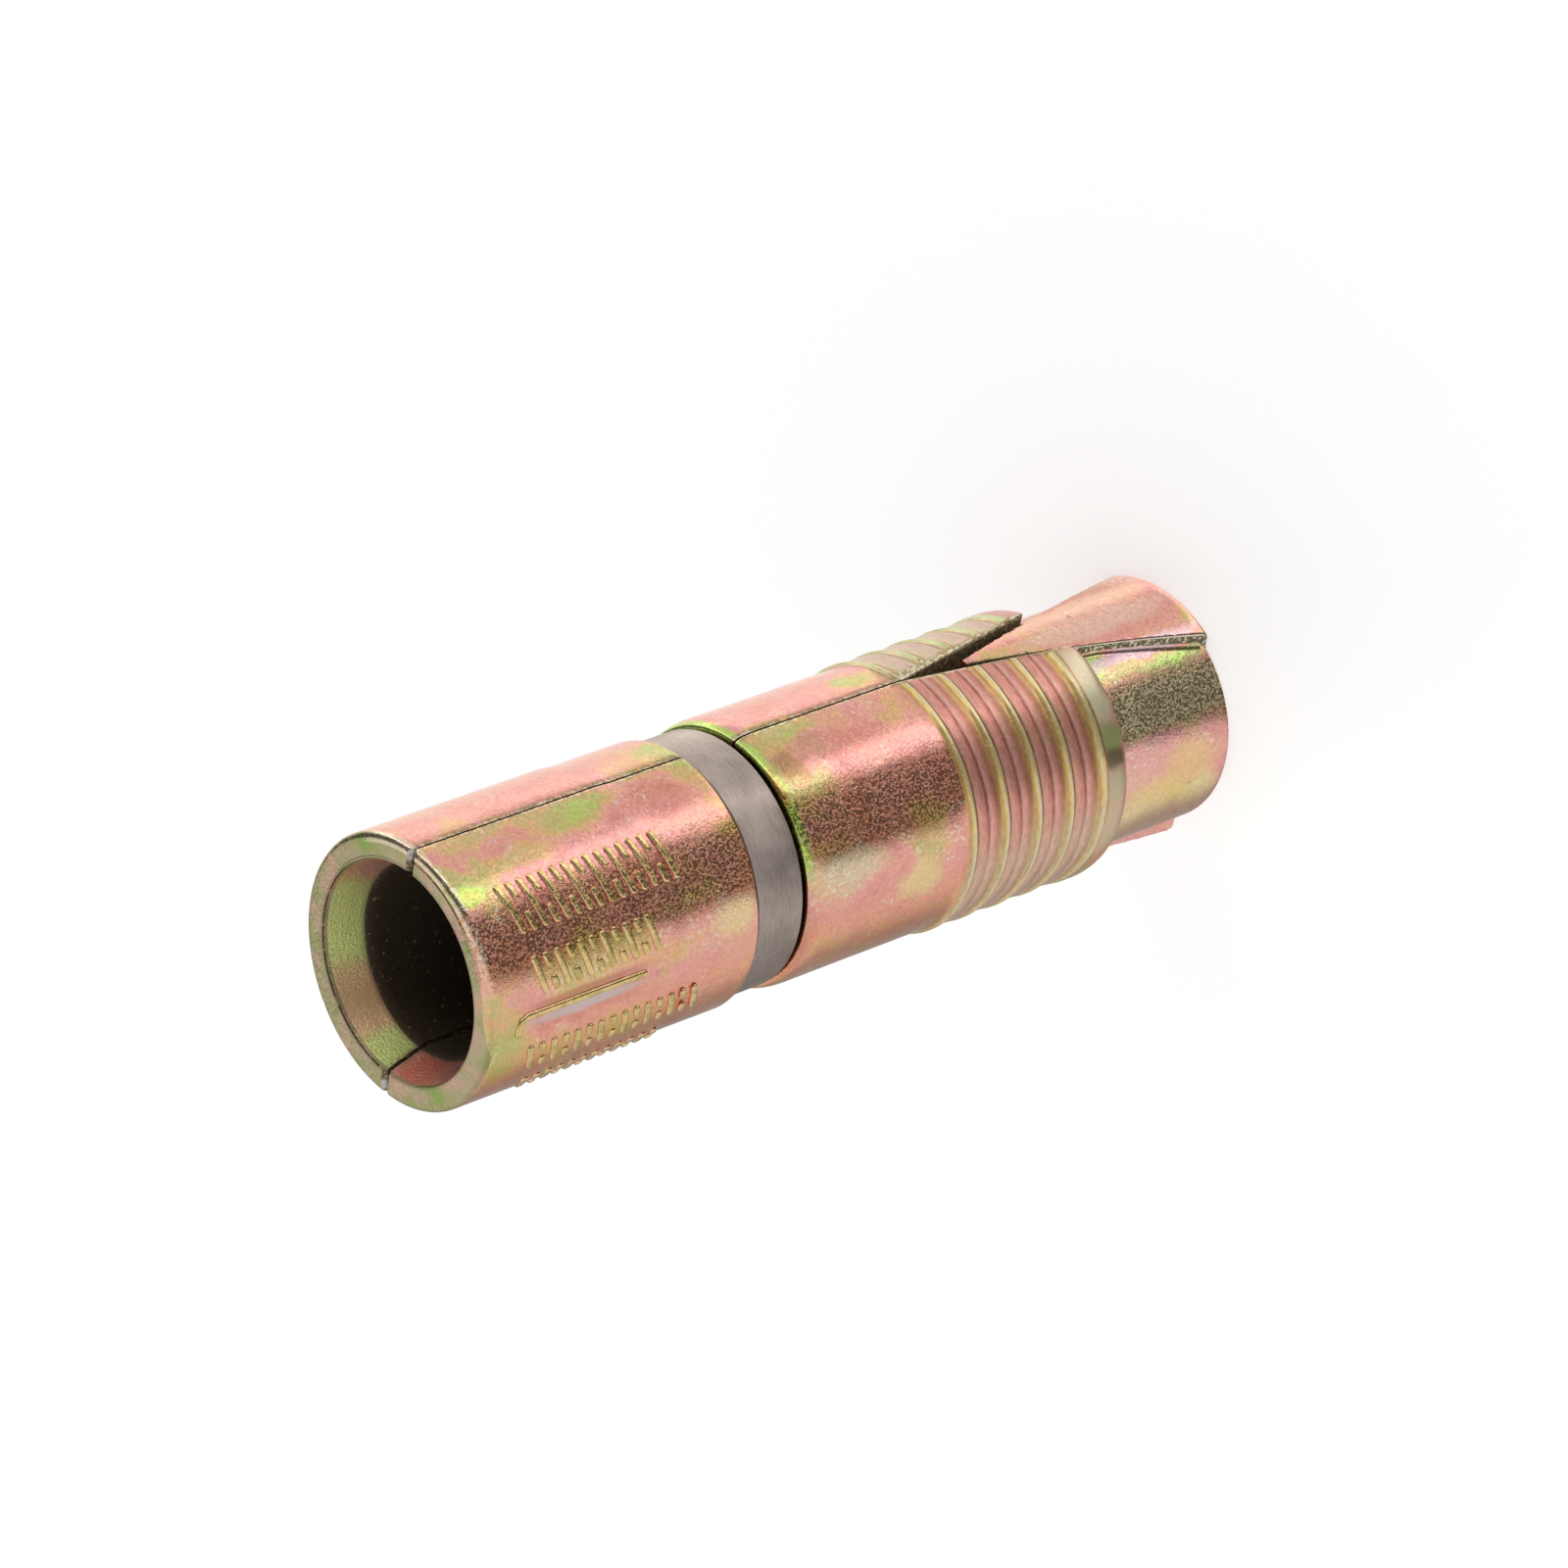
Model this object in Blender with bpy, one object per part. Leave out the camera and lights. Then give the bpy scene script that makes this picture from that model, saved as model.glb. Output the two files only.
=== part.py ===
"""Single expansion anchor for a 3/8 inch bolt, modelled in Blender.

Two half shells stand round a winged cone nut and are held together by a steel
band in a groove. A bolt through the mouth draws the nut up between the shells,
which swing apart about the mouth and grip the wall of the drilled hole.

Units are metres and +Z is up. The anchor stands on the large end of its nut,
with the mouth upwards. The origin is the centre of the nut's lower face. The
seam between the shells lies in the YZ plane.
"""
import math

import bmesh
import bpy
from mathutils import Matrix, Vector

MM = 0.001

# Bolt, and the wall of cast metal round its hole
BOLT_RADIUS = 4.76 * MM
BOLT_CLEARANCE = 0.64 * MM
SHELL_WALL = 2.35 * MM

# Shells: lengths run down from the mouth, steps run in or out from the collar
SHELL_LENGTH = 46.4 * MM
COLLAR_LENGTH = 12.6 * MM
MOUTH_ROUND = 0.3 * MM
RIM_WIDTH = 1.4 * MM
LEAD_IN_DEPTH = 2.6 * MM
BARREL_STEP = 0.07 * MM
BARREL_BLEND = 1.2 * MM
COLLAR_EDGE = 0.12 * MM
SHOULDER_STEP = 0.39 * MM
SHOULDER_LENGTH = 1.2 * MM
SEAM_GAP = 0.3 * MM
NOTCH_HALF_WIDTH = 0.45 * MM
NOTCH_DEPTH = 0.5 * MM

# Ribs on the lower part of the shells, and the plain land below them
RIB_COUNT = 5
RIB_PITCH = 2.47 * MM
RIB_STEP = 0.13 * MM
RIB_DEPTH = 0.17 * MM
RIB_LEAD = 0.37 * MM
RIB_CREST = 0.3 * MM
RIB_SHOULDER = 1.23 * MM
RIB_SHOULDER_DROP = 0.034 * MM
RIB_VALLEY = 1.93 * MM
END_LAND = 2.0 * MM
END_LAND_STEP = 0.19 * MM
END_ROUND = 1.2 * MM
END_ROUND_DEPTH = 0.49 * MM
END_SHOULDER = 0.72 * MM
END_SHOULDER_DROP = 0.074 * MM

# Steel band and its groove
BAND_STATION = 19.0 * MM
BAND_WIDTH = 3.175 * MM
BAND_THICKNESS = 0.4 * MM
BAND_STEP = 0.4 * MM
BAND_EDGE = 0.08 * MM
BAND_CLEARANCE = 0.3 * MM

# Cone nut: heights run up from its lower face
CONE_EXPOSED = 8.9 * MM
CONE_HEIGHT = 19.7 * MM
CONE_SHANK_HEIGHT = 7.3 * MM
CONE_STEP = 0.88 * MM
CONE_EDGE = 0.3 * MM
CONE_CLEARANCE = 0.3 * MM
CONE_ENTRY_CLEARANCE = 0.1 * MM
DRAW_IN = 3.0 * MM
SEAT_STEP = 0.15 * MM
SEAM_RELIEF = 0.2 * MM
THREAD_ENGAGEMENT = 0.41 * MM
NUT_BORE_CHAMFER = 0.5 * MM

# Wings on the nut and the slots that they run in
WING_STEP = 0.15 * MM
WING_LEAN = 0.22 * MM
WING_HEIGHT = 15.7 * MM
WING_END_HALF_WIDTH = 3.8 * MM
WING_TIP_HALF_WIDTH = 0.2 * MM
WING_CLEARANCE = 0.3 * MM
SLOT_LENGTH = 11.2 * MM
SLOT_CORNER = 1.0 * MM

# Facets
TURN_STEPS = 64
ARC_STEPS = 3
SHARP_ANGLE = math.radians(30)
OVERCUT = 2.0 * MM

# Worked out from the sizes above
LENGTH = SHELL_LENGTH + CONE_EXPOSED
BORE_RADIUS = BOLT_RADIUS + BOLT_CLEARANCE
COLLAR_RADIUS = BORE_RADIUS + SHELL_WALL
MOUTH_RADIUS = COLLAR_RADIUS - RIM_WIDTH
BARREL_RADIUS = COLLAR_RADIUS - BARREL_STEP
SHOULDER_RADIUS = COLLAR_RADIUS - SHOULDER_STEP
RIB_CREST_RADIUS = COLLAR_RADIUS + RIB_STEP
END_LAND_RADIUS = COLLAR_RADIUS + END_LAND_STEP
END_SHOULDER_RADIUS = END_LAND_RADIUS - END_SHOULDER_DROP
END_RADIUS = END_LAND_RADIUS - END_ROUND_DEPTH
FIRST_RIB = SHELL_LENGTH - END_LAND - (RIB_COUNT - 1) * RIB_PITCH
BAND_OUTER_RADIUS = COLLAR_RADIUS - BAND_STEP
BAND_INNER_RADIUS = BAND_OUTER_RADIUS - BAND_THICKNESS
GROOVE_RADIUS = BAND_INNER_RADIUS - BAND_CLEARANCE
GROOVE_START = BAND_STATION - BAND_CLEARANCE
GROOVE_END = BAND_STATION + BAND_WIDTH + BAND_CLEARANCE
CONE_RADIUS = COLLAR_RADIUS - CONE_STEP
CONE_SMALL_RADIUS = BORE_RADIUS - CONE_ENTRY_CLEARANCE
CONE_SLOPE = (CONE_RADIUS - CONE_SMALL_RADIUS) / (CONE_HEIGHT - CONE_SHANK_HEIGHT)
NUT_BORE_RADIUS = BOLT_RADIUS - THREAD_ENGAGEMENT
WING_RADIUS = COLLAR_RADIUS - WING_STEP
WING_TOP_RADIUS = WING_RADIUS - WING_LEAN


def height(station):
    """Height of a place given by its distance down from the mouth."""
    return LENGTH - station


def clear_scene():
    for obj in list(bpy.data.objects):
        bpy.data.objects.remove(obj, do_unlink=True)


def material(name, colour, roughness, metallic):
    mat = bpy.data.materials.new(name)
    mat.use_nodes = True
    shader = mat.node_tree.nodes["Principled BSDF"]
    shader.inputs["Base Color"].default_value = (*colour, 1.0)
    shader.inputs["Roughness"].default_value = roughness
    shader.inputs["Metallic"].default_value = metallic
    return mat


def object_from(bm, name, mat=None, origin=(0.0, 0.0, 0.0)):
    """Turn a bmesh in world coordinates into an object with the given origin."""
    bmesh.ops.recalc_face_normals(bm, faces=bm.faces)
    mesh = bpy.data.meshes.new(name)
    bm.to_mesh(mesh)
    bm.free()
    mesh.transform(Matrix.Translation(-Vector(origin)))
    obj = bpy.data.objects.new(name, mesh)
    obj.location = origin
    bpy.context.collection.objects.link(obj)
    if mat:
        mesh.materials.append(mat)
        mesh.shade_smooth()
        mesh.set_sharp_from_angle(angle=SHARP_ANGLE)
    return obj


def cutter(bm, name):
    obj = object_from(bm, name)
    obj.hide_render = True
    obj.display_type = "WIRE"
    return obj


def apply_boolean(obj, tool, operation, name):
    step = obj.modifiers.new(name, "BOOLEAN")
    step.operation = operation
    step.solver = "EXACT"
    step.object = tool


def turned(profile):
    """Spin a closed loop of (radius, height) points round the Z axis."""
    bm = bmesh.new()
    verts = [bm.verts.new((radius, 0.0, z)) for radius, z in profile]
    edges = [bm.edges.new((a, b)) for a, b in zip(verts, verts[1:] + verts[:1])
             if not on_axis(a, b)]
    bmesh.ops.spin(bm, geom=verts + edges, cent=(0, 0, 0), axis=(0, 0, 1),
                   angle=math.tau, steps=TURN_STEPS, use_merge=True, use_duplicate=False)
    bmesh.ops.remove_doubles(bm, verts=bm.verts, dist=0.000001)
    return bm


def on_axis(a, b):
    return a.co.x == 0.0 and b.co.x == 0.0


def prism(outline, half_depth):
    """Extrude an outline of (x, z) points along Y, the same way to both sides."""
    bm = bmesh.new()
    verts = [bm.verts.new((x, -half_depth, z)) for x, z in outline]
    face = bm.faces.new(verts)
    swept = bmesh.ops.extrude_face_region(bm, geom=[face])
    moved = [item for item in swept["geom"] if isinstance(item, bmesh.types.BMVert)]
    bmesh.ops.translate(bm, verts=moved, vec=(0.0, 2 * half_depth, 0.0))
    return bm


def arc(centre, radius, start, end, steps=ARC_STEPS):
    """Points on an arc in a flat outline, with angles in degrees."""
    points = []
    for step in range(steps + 1):
        angle = math.radians(start + (end - start) * step / steps)
        points.append((centre[0] + radius * math.cos(angle),
                       centre[1] + radius * math.sin(angle)))
    return points


def mouth_profile():
    """From the bore over the flat rim to the rounded outer edge."""
    centre = (COLLAR_RADIUS - MOUTH_ROUND, height(MOUTH_ROUND))
    return [(BORE_RADIUS, height(LEAD_IN_DEPTH)),
            (MOUTH_RADIUS, height(0.0)),
            *arc(centre, MOUTH_ROUND, 90, 0)]


def barrel_profile():
    """Collar, band groove, rounded shoulder and plain barrel, top to bottom."""
    edge_centre = (BARREL_RADIUS - COLLAR_EDGE, height(GROOVE_START - COLLAR_EDGE))
    return [(COLLAR_RADIUS, height(COLLAR_LENGTH)),
            (BARREL_RADIUS, height(COLLAR_LENGTH + BARREL_BLEND)),
            *arc(edge_centre, COLLAR_EDGE, 0, -90),
            (GROOVE_RADIUS, height(GROOVE_START)),
            (GROOVE_RADIUS, height(GROOVE_END)),
            *shoulder_profile(),
            (BARREL_RADIUS, height(FIRST_RIB - RIB_LEAD))]


def shoulder_profile():
    """The barrel's rounded edge below the band: a quarter of an ellipse."""
    points = []
    for x, z in arc((0.0, 0.0), 1.0, 0, 90):
        radius = SHOULDER_RADIUS + (BARREL_RADIUS - SHOULDER_RADIUS) * z
        points.append((radius, height(GROOVE_END + SHOULDER_LENGTH * (1 - x))))
    return points


def rib_profile():
    """Low ribs: a short steep side towards the mouth and a long easy slope."""
    shoulder_radius = RIB_CREST_RADIUS - RIB_SHOULDER_DROP
    valley_radius = RIB_CREST_RADIUS - RIB_DEPTH
    points = []
    for rib in range(RIB_COUNT - 1):
        station = FIRST_RIB + rib * RIB_PITCH
        points += [(RIB_CREST_RADIUS, height(station)),
                   (RIB_CREST_RADIUS, height(station + RIB_CREST)),
                   (shoulder_radius, height(station + RIB_SHOULDER)),
                   (valley_radius, height(station + RIB_VALLEY))]
    return points


def end_profile():
    """The land below the last rib, rounded in to the shell's lower end."""
    last_rib = SHELL_LENGTH - END_LAND
    round_start = SHELL_LENGTH - END_ROUND
    return [(RIB_CREST_RADIUS, height(last_rib)),
            (END_LAND_RADIUS, height(last_rib + RIB_CREST)),
            (END_LAND_RADIUS, height(round_start)),
            (END_SHOULDER_RADIUS, height(round_start + END_SHOULDER)),
            (END_RADIUS, height(SHELL_LENGTH)),
            (BORE_RADIUS, height(SHELL_LENGTH))]


def cone_radius(z):
    """Radius of the nut's body, carried on above and below its real ends."""
    return CONE_RADIUS - CONE_SLOPE * (z - CONE_SHANK_HEIGHT)


def wing_half_width(z):
    slope = (WING_END_HALF_WIDTH - WING_TIP_HALF_WIDTH) / WING_HEIGHT
    return WING_END_HALF_WIDTH - slope * z


def taper_cutter():
    """The tapered seat for the nut, opened a little towards the seams.

    A straight stretch as long as the draw leaves room for the nut's small end.
    """
    low = height(SHELL_LENGTH) - OVERCUT
    step_radius = BORE_RADIUS + SEAT_STEP
    taper_top = CONE_SHANK_HEIGHT + (CONE_RADIUS + CONE_CLEARANCE - step_radius) / CONE_SLOPE
    profile = [(0.0, taper_top + DRAW_IN), (step_radius, taper_top + DRAW_IN),
               (step_radius, taper_top),
               (cone_radius(low) + CONE_CLEARANCE, low), (0.0, low)]
    bm = turned(profile)
    stretch = 1.0 + SEAM_RELIEF / CONE_RADIUS
    bmesh.ops.scale(bm, verts=bm.verts, vec=(1.0, stretch, 1.0))
    return cutter(bm, "cone_seat_cutter")


def slot_cutter():
    """V slots through both seams, with rounded corners at the lower end."""
    end = height(SHELL_LENGTH)
    apex = end + SLOT_LENGTH
    end_half_width = wing_half_width(end) + WING_CLEARANCE
    lean = math.atan2(end_half_width - SEAM_GAP / 2, SLOT_LENGTH)
    corner_x = end_half_width + SLOT_CORNER * (1 - math.sin(lean)) / math.cos(lean)
    centre = (corner_x, end + SLOT_CORNER)
    flank = arc(centre, SLOT_CORNER, 180 - math.degrees(lean), 270)
    right = [(SEAM_GAP / 2, apex), *flank, (corner_x, end - OVERCUT)]
    left = [(-x, z) for x, z in reversed(right)]
    return cutter(prism(right + left, COLLAR_RADIUS + OVERCUT), "wing_slot_cutter")


def notch_cutter():
    """Small V notches where the seams meet the mouth."""
    top = height(0.0)
    outline = [(0.0, top - NOTCH_DEPTH), (NOTCH_HALF_WIDTH, top),
               (NOTCH_HALF_WIDTH, top + OVERCUT), (-NOTCH_HALF_WIDTH, top + OVERCUT),
               (-NOTCH_HALF_WIDTH, top)]
    return cutter(prism(outline, COLLAR_RADIUS + OVERCUT), "mouth_notch_cutter")


def half_space_cutter(side):
    """Block that removes the far half and half of the seam's gap."""
    reach = END_LAND_RADIUS + OVERCUT
    low = height(SHELL_LENGTH) - OVERCUT
    top = height(0.0) + OVERCUT
    near = side * SEAM_GAP / 2
    far = -side * reach
    outline = [(near, low), (near, top), (far, top), (far, low)]
    name = "seam_cutter_front" if side > 0 else "seam_cutter_back"
    return cutter(prism(outline, reach), name)


def half_shell(name, side, mat, cutters):
    """One half of the sleeve, on the +X side or the -X side."""
    profile = mouth_profile() + barrel_profile() + rib_profile() + end_profile()
    shell = object_from(turned(profile), name, mat, origin=(0.0, 0.0, height(0.0)))
    apply_boolean(shell, half_space_cutter(side), "DIFFERENCE", "seam")
    for label, tool in cutters.items():
        apply_boolean(shell, tool, "DIFFERENCE", label)
    return shell


def band(mat):
    """The plain steel ring that holds the shells together."""
    top = height(BAND_STATION)
    low = top - BAND_WIDTH
    profile = [(BAND_INNER_RADIUS, low), (BAND_INNER_RADIUS, top),
               (BAND_OUTER_RADIUS - BAND_EDGE, top), (BAND_OUTER_RADIUS, top - BAND_EDGE),
               (BAND_OUTER_RADIUS, low + BAND_EDGE), (BAND_OUTER_RADIUS - BAND_EDGE, low)]
    return object_from(turned(profile), "retaining_band", mat,
                       origin=(0.0, 0.0, top - BAND_WIDTH / 2))


def wing_form():
    """Both wings: a turned ring cut to the V outline that fits the slots."""
    root_radius = (NUT_BORE_RADIUS + CONE_SMALL_RADIUS) / 2
    ring = [(root_radius, 0.0), (WING_RADIUS - CONE_EDGE, 0.0), (WING_RADIUS, CONE_EDGE),
            (WING_TOP_RADIUS, WING_HEIGHT + OVERCUT), (root_radius, WING_HEIGHT + OVERCUT)]
    form = cutter(turned(ring), "wing_form")
    right = [(WING_TIP_HALF_WIDTH, WING_HEIGHT), (wing_half_width(-OVERCUT), -OVERCUT)]
    left = [(-x, z) for x, z in reversed(right)]
    outline = cutter(prism(right + left, WING_RADIUS + OVERCUT), "wing_outline_cutter")
    apply_boolean(form, outline, "INTERSECT", "outline")
    return form


def cone_nut(mat):
    """Shank and cone with a bolt hole, and two wings along the seams."""
    top = CONE_HEIGHT
    bore_edge = NUT_BORE_RADIUS + NUT_BORE_CHAMFER
    profile = [(bore_edge, 0.0), (CONE_RADIUS - CONE_EDGE, 0.0), (CONE_RADIUS, CONE_EDGE),
               (CONE_RADIUS, CONE_SHANK_HEIGHT),
               (cone_radius(top - CONE_EDGE), top - CONE_EDGE),
               (CONE_SMALL_RADIUS - CONE_EDGE, top),
               (NUT_BORE_RADIUS, top), (NUT_BORE_RADIUS, NUT_BORE_CHAMFER)]
    nut = object_from(turned(profile), "cone_nut", mat)
    apply_boolean(nut, wing_form(), "UNION", "wings")
    return nut


def build():
    clear_scene()
    plating = material("yellow_chromate_zinc", (0.72, 0.47, 0.38), 0.36, 1.0)
    nut_plating = material("yellow_chromate_zinc_nut", (0.68, 0.46, 0.34), 0.4, 1.0)
    steel = material("bare_steel", (0.47, 0.43, 0.40), 0.42, 1.0)

    sleeve = bpy.data.objects.new("sleeve_carrier", None)
    bpy.context.collection.objects.link(sleeve)
    cutters = {"nut seat": taper_cutter(), "wing slots": slot_cutter(), "notches": notch_cutter()}
    pieces = [half_shell("shell_half_front", 1, plating, cutters),
              half_shell("shell_half_back", -1, plating, cutters),
              band(steel)]
    for piece in pieces:
        piece.parent = sleeve
    cone_nut(nut_plating)


build()
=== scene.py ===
"""Looks of the expansion anchor: cast and plated shells, steel band and winged cone nut.

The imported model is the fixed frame. Metres, +Z up: the anchor stands on its nut and
the mouth is on top. Stations run down from the mouth. Turns are measured round the
anchor from the +Y seam towards +X, which is the side that the camera sees.
"""
import math

import bmesh
import bpy
from mathutils import Matrix, Vector, noise


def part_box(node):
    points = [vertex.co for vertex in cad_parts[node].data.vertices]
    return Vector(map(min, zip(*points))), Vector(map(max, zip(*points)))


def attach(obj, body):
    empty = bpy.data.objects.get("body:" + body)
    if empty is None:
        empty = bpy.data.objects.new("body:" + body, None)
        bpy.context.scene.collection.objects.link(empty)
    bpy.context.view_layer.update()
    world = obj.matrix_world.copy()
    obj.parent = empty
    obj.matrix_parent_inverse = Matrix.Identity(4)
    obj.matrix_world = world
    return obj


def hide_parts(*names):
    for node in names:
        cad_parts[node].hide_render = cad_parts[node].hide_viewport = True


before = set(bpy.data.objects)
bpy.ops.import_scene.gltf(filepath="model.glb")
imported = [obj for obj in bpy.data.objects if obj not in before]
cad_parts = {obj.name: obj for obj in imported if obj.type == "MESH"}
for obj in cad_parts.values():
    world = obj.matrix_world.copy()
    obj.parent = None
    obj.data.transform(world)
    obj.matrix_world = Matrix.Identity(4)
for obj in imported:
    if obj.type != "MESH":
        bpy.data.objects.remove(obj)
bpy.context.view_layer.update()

MM = 0.001

# Heights taken from the frame
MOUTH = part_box("shell_half_front")[1].z
SHELL_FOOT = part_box("shell_half_front")[0].z
NUT_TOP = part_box("cone_nut")[1].z
BAND_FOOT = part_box("retaining_band")[0].z
BAND_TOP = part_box("retaining_band")[1].z
BAND_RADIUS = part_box("retaining_band")[1].x
BAND_THICKNESS = 0.4 * MM
BAND_EDGE = 0.09 * MM

# Shells
COLLAR_RADIUS = 7.75 * MM
BARREL_RADIUS = 7.68 * MM
SHOULDER_RADIUS = 7.36 * MM
SHOULDER_LENGTH = 1.2 * MM
COLLAR_EDGE = 0.12 * MM
GROOVE_RADIUS = 6.65 * MM
BORE_RADIUS = 5.4 * MM
MOUTH_RADIUS = 6.33 * MM
RIM_ROUND = 0.34 * MM
RIM_CREASE_RADIUS = 7.12 * MM
RIM_CREASE_WIDTH = 0.16 * MM
RIM_CREASE_DEPTH = 0.07 * MM
CREASE_LAST_TURN = 80.0
CREASE_FADE_TURN = 40.0
LEAD_IN_DEPTH = 2.6 * MM
COLLAR_LENGTH = 12.6 * MM
GROOVE_GAP = 0.3 * MM
BARREL_BLEND = 1.2 * MM
SEAM_OUTSIDE = 0.06 * MM
SEAM_INSIDE = 0.16 * MM
NOTCH_HALF_WIDTH = 0.3 * MM
NOTCH_DEPTH = 0.42 * MM
EDGE_WEAR = 0.05 * MM
OUTER_SKIN_RADIUS = GROOVE_RADIUS + 0.3 * MM
RIPPLE_DEPTH = 0.012 * MM
RIPPLE_SIZE = 2.6 * MM

# Ribs
FIRST_RIB = 34.52 * MM
RIB_PITCH = 2.47 * MM
RIB_COUNT = 5
RIB_RADIUS = 7.88 * MM
END_LAND_RADIUS = 7.93 * MM
END_RADIUS = 7.45 * MM
END_ROUND = 1.0 * MM

# One rib as (distance past its crest, drop below the crest), in millimetres
RIB_SHAPE = ((-0.34, 0.150), (-0.22, 0.120), (-0.13, 0.030), (-0.05, 0.0), (0.05, 0.0),
             (0.13, 0.030), (0.22, 0.135), (0.30, 0.165), (0.40, 0.120), (0.55, 0.085),
             (0.85, 0.100), (1.15, 0.130), (1.45, 0.100), (1.70, 0.080), (1.90, 0.100),
             (2.05, 0.150))

# Raised marks cast on the front shell. A row holds its first and last station in mm, the
# turns of its upper and lower edge in degrees, and the number of strokes
STROKE_WIDTH = 0.42 * MM
STROKE_HEIGHT = 0.12 * MM
STROKE_ROOT = 0.12 * MM
STROKE_FACET = 0.5 * MM
STROKE_SLANT = 0.55
MARK_ROWS = ((2.6, 13.2, 29, 51, 15), (3.2, 11.0, 60, 76, 11), (3.0, 14.4, 99, 113, 15),
             (4.0, 13.0, 123, 136, 12))
RIDGE_WIDTH = 0.42 * MM
RIDGE_HEIGHT = 0.15 * MM
RIDGE_START = 1.9
RIDGE_END = 10.7
RIDGE_TURN = 83.5
RIDGE_FOOT_TURN = 92.0
RIDGE_BEND = 0.6

# Seat for the nut inside the shells, and the V slots for its wings
SEAT_RADIUS = 5.55 * MM
SEAT_STRAIGHT = 3.0 * MM
SEAT_CLEARANCE = 0.3 * MM
SEAT_RELIEF = 0.17 * MM
SLOT_LENGTH = 11.2 * MM
SLOT_CORNER = 1.0 * MM
SLOT_HALF_WIDTH = 2.06 * MM
SLOT_EDGE = 0.24 * MM

# Nut
CONE_RADIUS = 6.87 * MM
CONE_SMALL_RADIUS = 5.3 * MM
CONE_SHANK_HEIGHT = 7.3 * MM
NUT_BORE_RADIUS = 4.35 * MM
NUT_CHAMFER = 0.5 * MM
NUT_EDGE = 0.22 * MM
THREAD_PITCH = 1.5875 * MM
THREAD_DEPTH = 0.4 * MM
THREAD_STEPS = 48
WING_RADIUS = 7.6 * MM
WING_TOP_RADIUS = 7.4 * MM
WING_ROOT_RADIUS = 4.9 * MM
WING_HEIGHT = 15.7 * MM
WING_HALF_WIDTH = 3.8 * MM
WING_TIP_HALF_WIDTH = 0.2 * MM
WING_EDGE = 0.1 * MM
WING_FOOT_ROUND = 0.25 * MM
WING_REACH = math.radians(34)
WING_STEPS = 40
WING_FILLET = 0.2 * MM
FILLET_ROWS = 30

# Mesh fineness
STEPS_PER_QUARTER = 48
LONGEST_FACET = 0.4 * MM
SMOOTH_ANGLE = math.radians(38)
SHARP_CORNER = math.radians(50)
MERGE = 0.5e-6
CUT_FACE = "cut_face"
GRAIN_DEPTH = 0.05 * MM

# The camera's place and axes, at the photograph's viewing angle
CAMERA_PLACE = Vector((227.5, 201.4, 262.3)) * MM
CAMERA_RIGHT = Vector((0.6563, 0.1247, -0.7442))
CAMERA_UP = Vector((-0.4626, 0.8457, -0.2662))
CAMERA_LENS = 159.9
CAMERA_SENSOR = 36.0


def at_station(radius, station):
    return (radius, MOUTH - station)


def arc(centre, radius, start, end, steps):
    """Points (radius, height) on an arc, with angles in degrees."""
    points = []
    for step in range(steps + 1):
        angle = math.radians(start + (end - start) * step / steps)
        points.append((centre[0] + radius * math.cos(angle),
                       centre[1] + radius * math.sin(angle)))
    return points


def eased(start, end, steps):
    """A soft S between two (radius, height) points."""
    points = []
    for step in range(steps + 1):
        share = step / steps
        ease = share * share * (3 - 2 * share)
        points.append((start[0] + (end[0] - start[0]) * ease,
                       start[1] + (end[1] - start[1]) * share))
    return points


def finely(points):
    """Split the long stretches of a closed outline into short ones."""
    fine = []
    for a, b in zip(points, points[1:] + points[:1]):
        cuts = max(1, math.ceil((Vector(b) - Vector(a)).length / LONGEST_FACET))
        fine += [tuple(Vector(a).lerp(Vector(b), cut / cuts)) for cut in range(cuts)]
    return fine


def everything(bm):
    return bm.verts[:] + bm.edges[:] + bm.faces[:]


def closed_line(bm, outline):
    """A closed line of edges through (radius, height) points. Gives back its geometry."""
    verts = [bm.verts.new((radius, 0.0, z)) for radius, z in outline]
    return verts + [bm.edges.new(pair) for pair in zip(verts, verts[1:] + verts[:1])]


def rotated(bm, verts, angle):
    """Turn some vertices about the anchor's axis."""
    bmesh.ops.rotate(bm, verts=verts, cent=(0, 0, 0), matrix=Matrix.Rotation(angle, 3, "Z"))


def spun(outline, turn, start=0.0, steps=STEPS_PER_QUARTER):
    """Turn an outline of (radius, height) points round the anchor's axis."""
    bm = new_form()
    line = closed_line(bm, outline)
    rotated(bm, bm.verts[:], start)
    whole = turn == math.tau
    bmesh.ops.spin(bm, geom=line, cent=(0, 0, 0), axis=(0, 0, 1), angle=turn, steps=steps,
                   use_merge=whole, use_duplicate=False)
    if whole:
        bmesh.ops.remove_doubles(bm, verts=bm.verts, dist=MERGE)
    return bm


def rounded(bm, edges, size, clamp=True):
    """Round some edges with three facets."""
    bmesh.ops.bevel(bm, geom=edges, offset=size, offset_type="OFFSET", segments=3,
                    profile=0.5, affect="EDGES", clamp_overlap=clamp, material=-1)


def outward(bm):
    """Turn all normals outward."""
    bmesh.ops.recalc_face_normals(bm, faces=bm.faces)
    return bm


def pare(bm, place, normal, share=1.0):
    """Cut away what lies behind a plane, close the cut and note how much of a cut it is."""
    cut = bmesh.ops.bisect_plane(bm, geom=everything(bm), dist=MERGE, plane_co=place,
                                 plane_no=normal, clear_inner=True)
    open_edges = [item for item in cut["geom_cut"]
                  if isinstance(item, bmesh.types.BMEdge) and item.is_boundary]
    if open_edges:
        for face in bmesh.ops.holes_fill(bm, edges=open_edges)["faces"]:
            face[cut_layer(bm)] = share


def new_form():
    """An empty bmesh with the layer that tells cut and hidden faces from the moulded skin."""
    bm = bmesh.new()
    bm.faces.layers.float.new(CUT_FACE)
    return bm


def cut_layer(bm):
    return bm.faces.layers.float[CUT_FACE]


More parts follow.
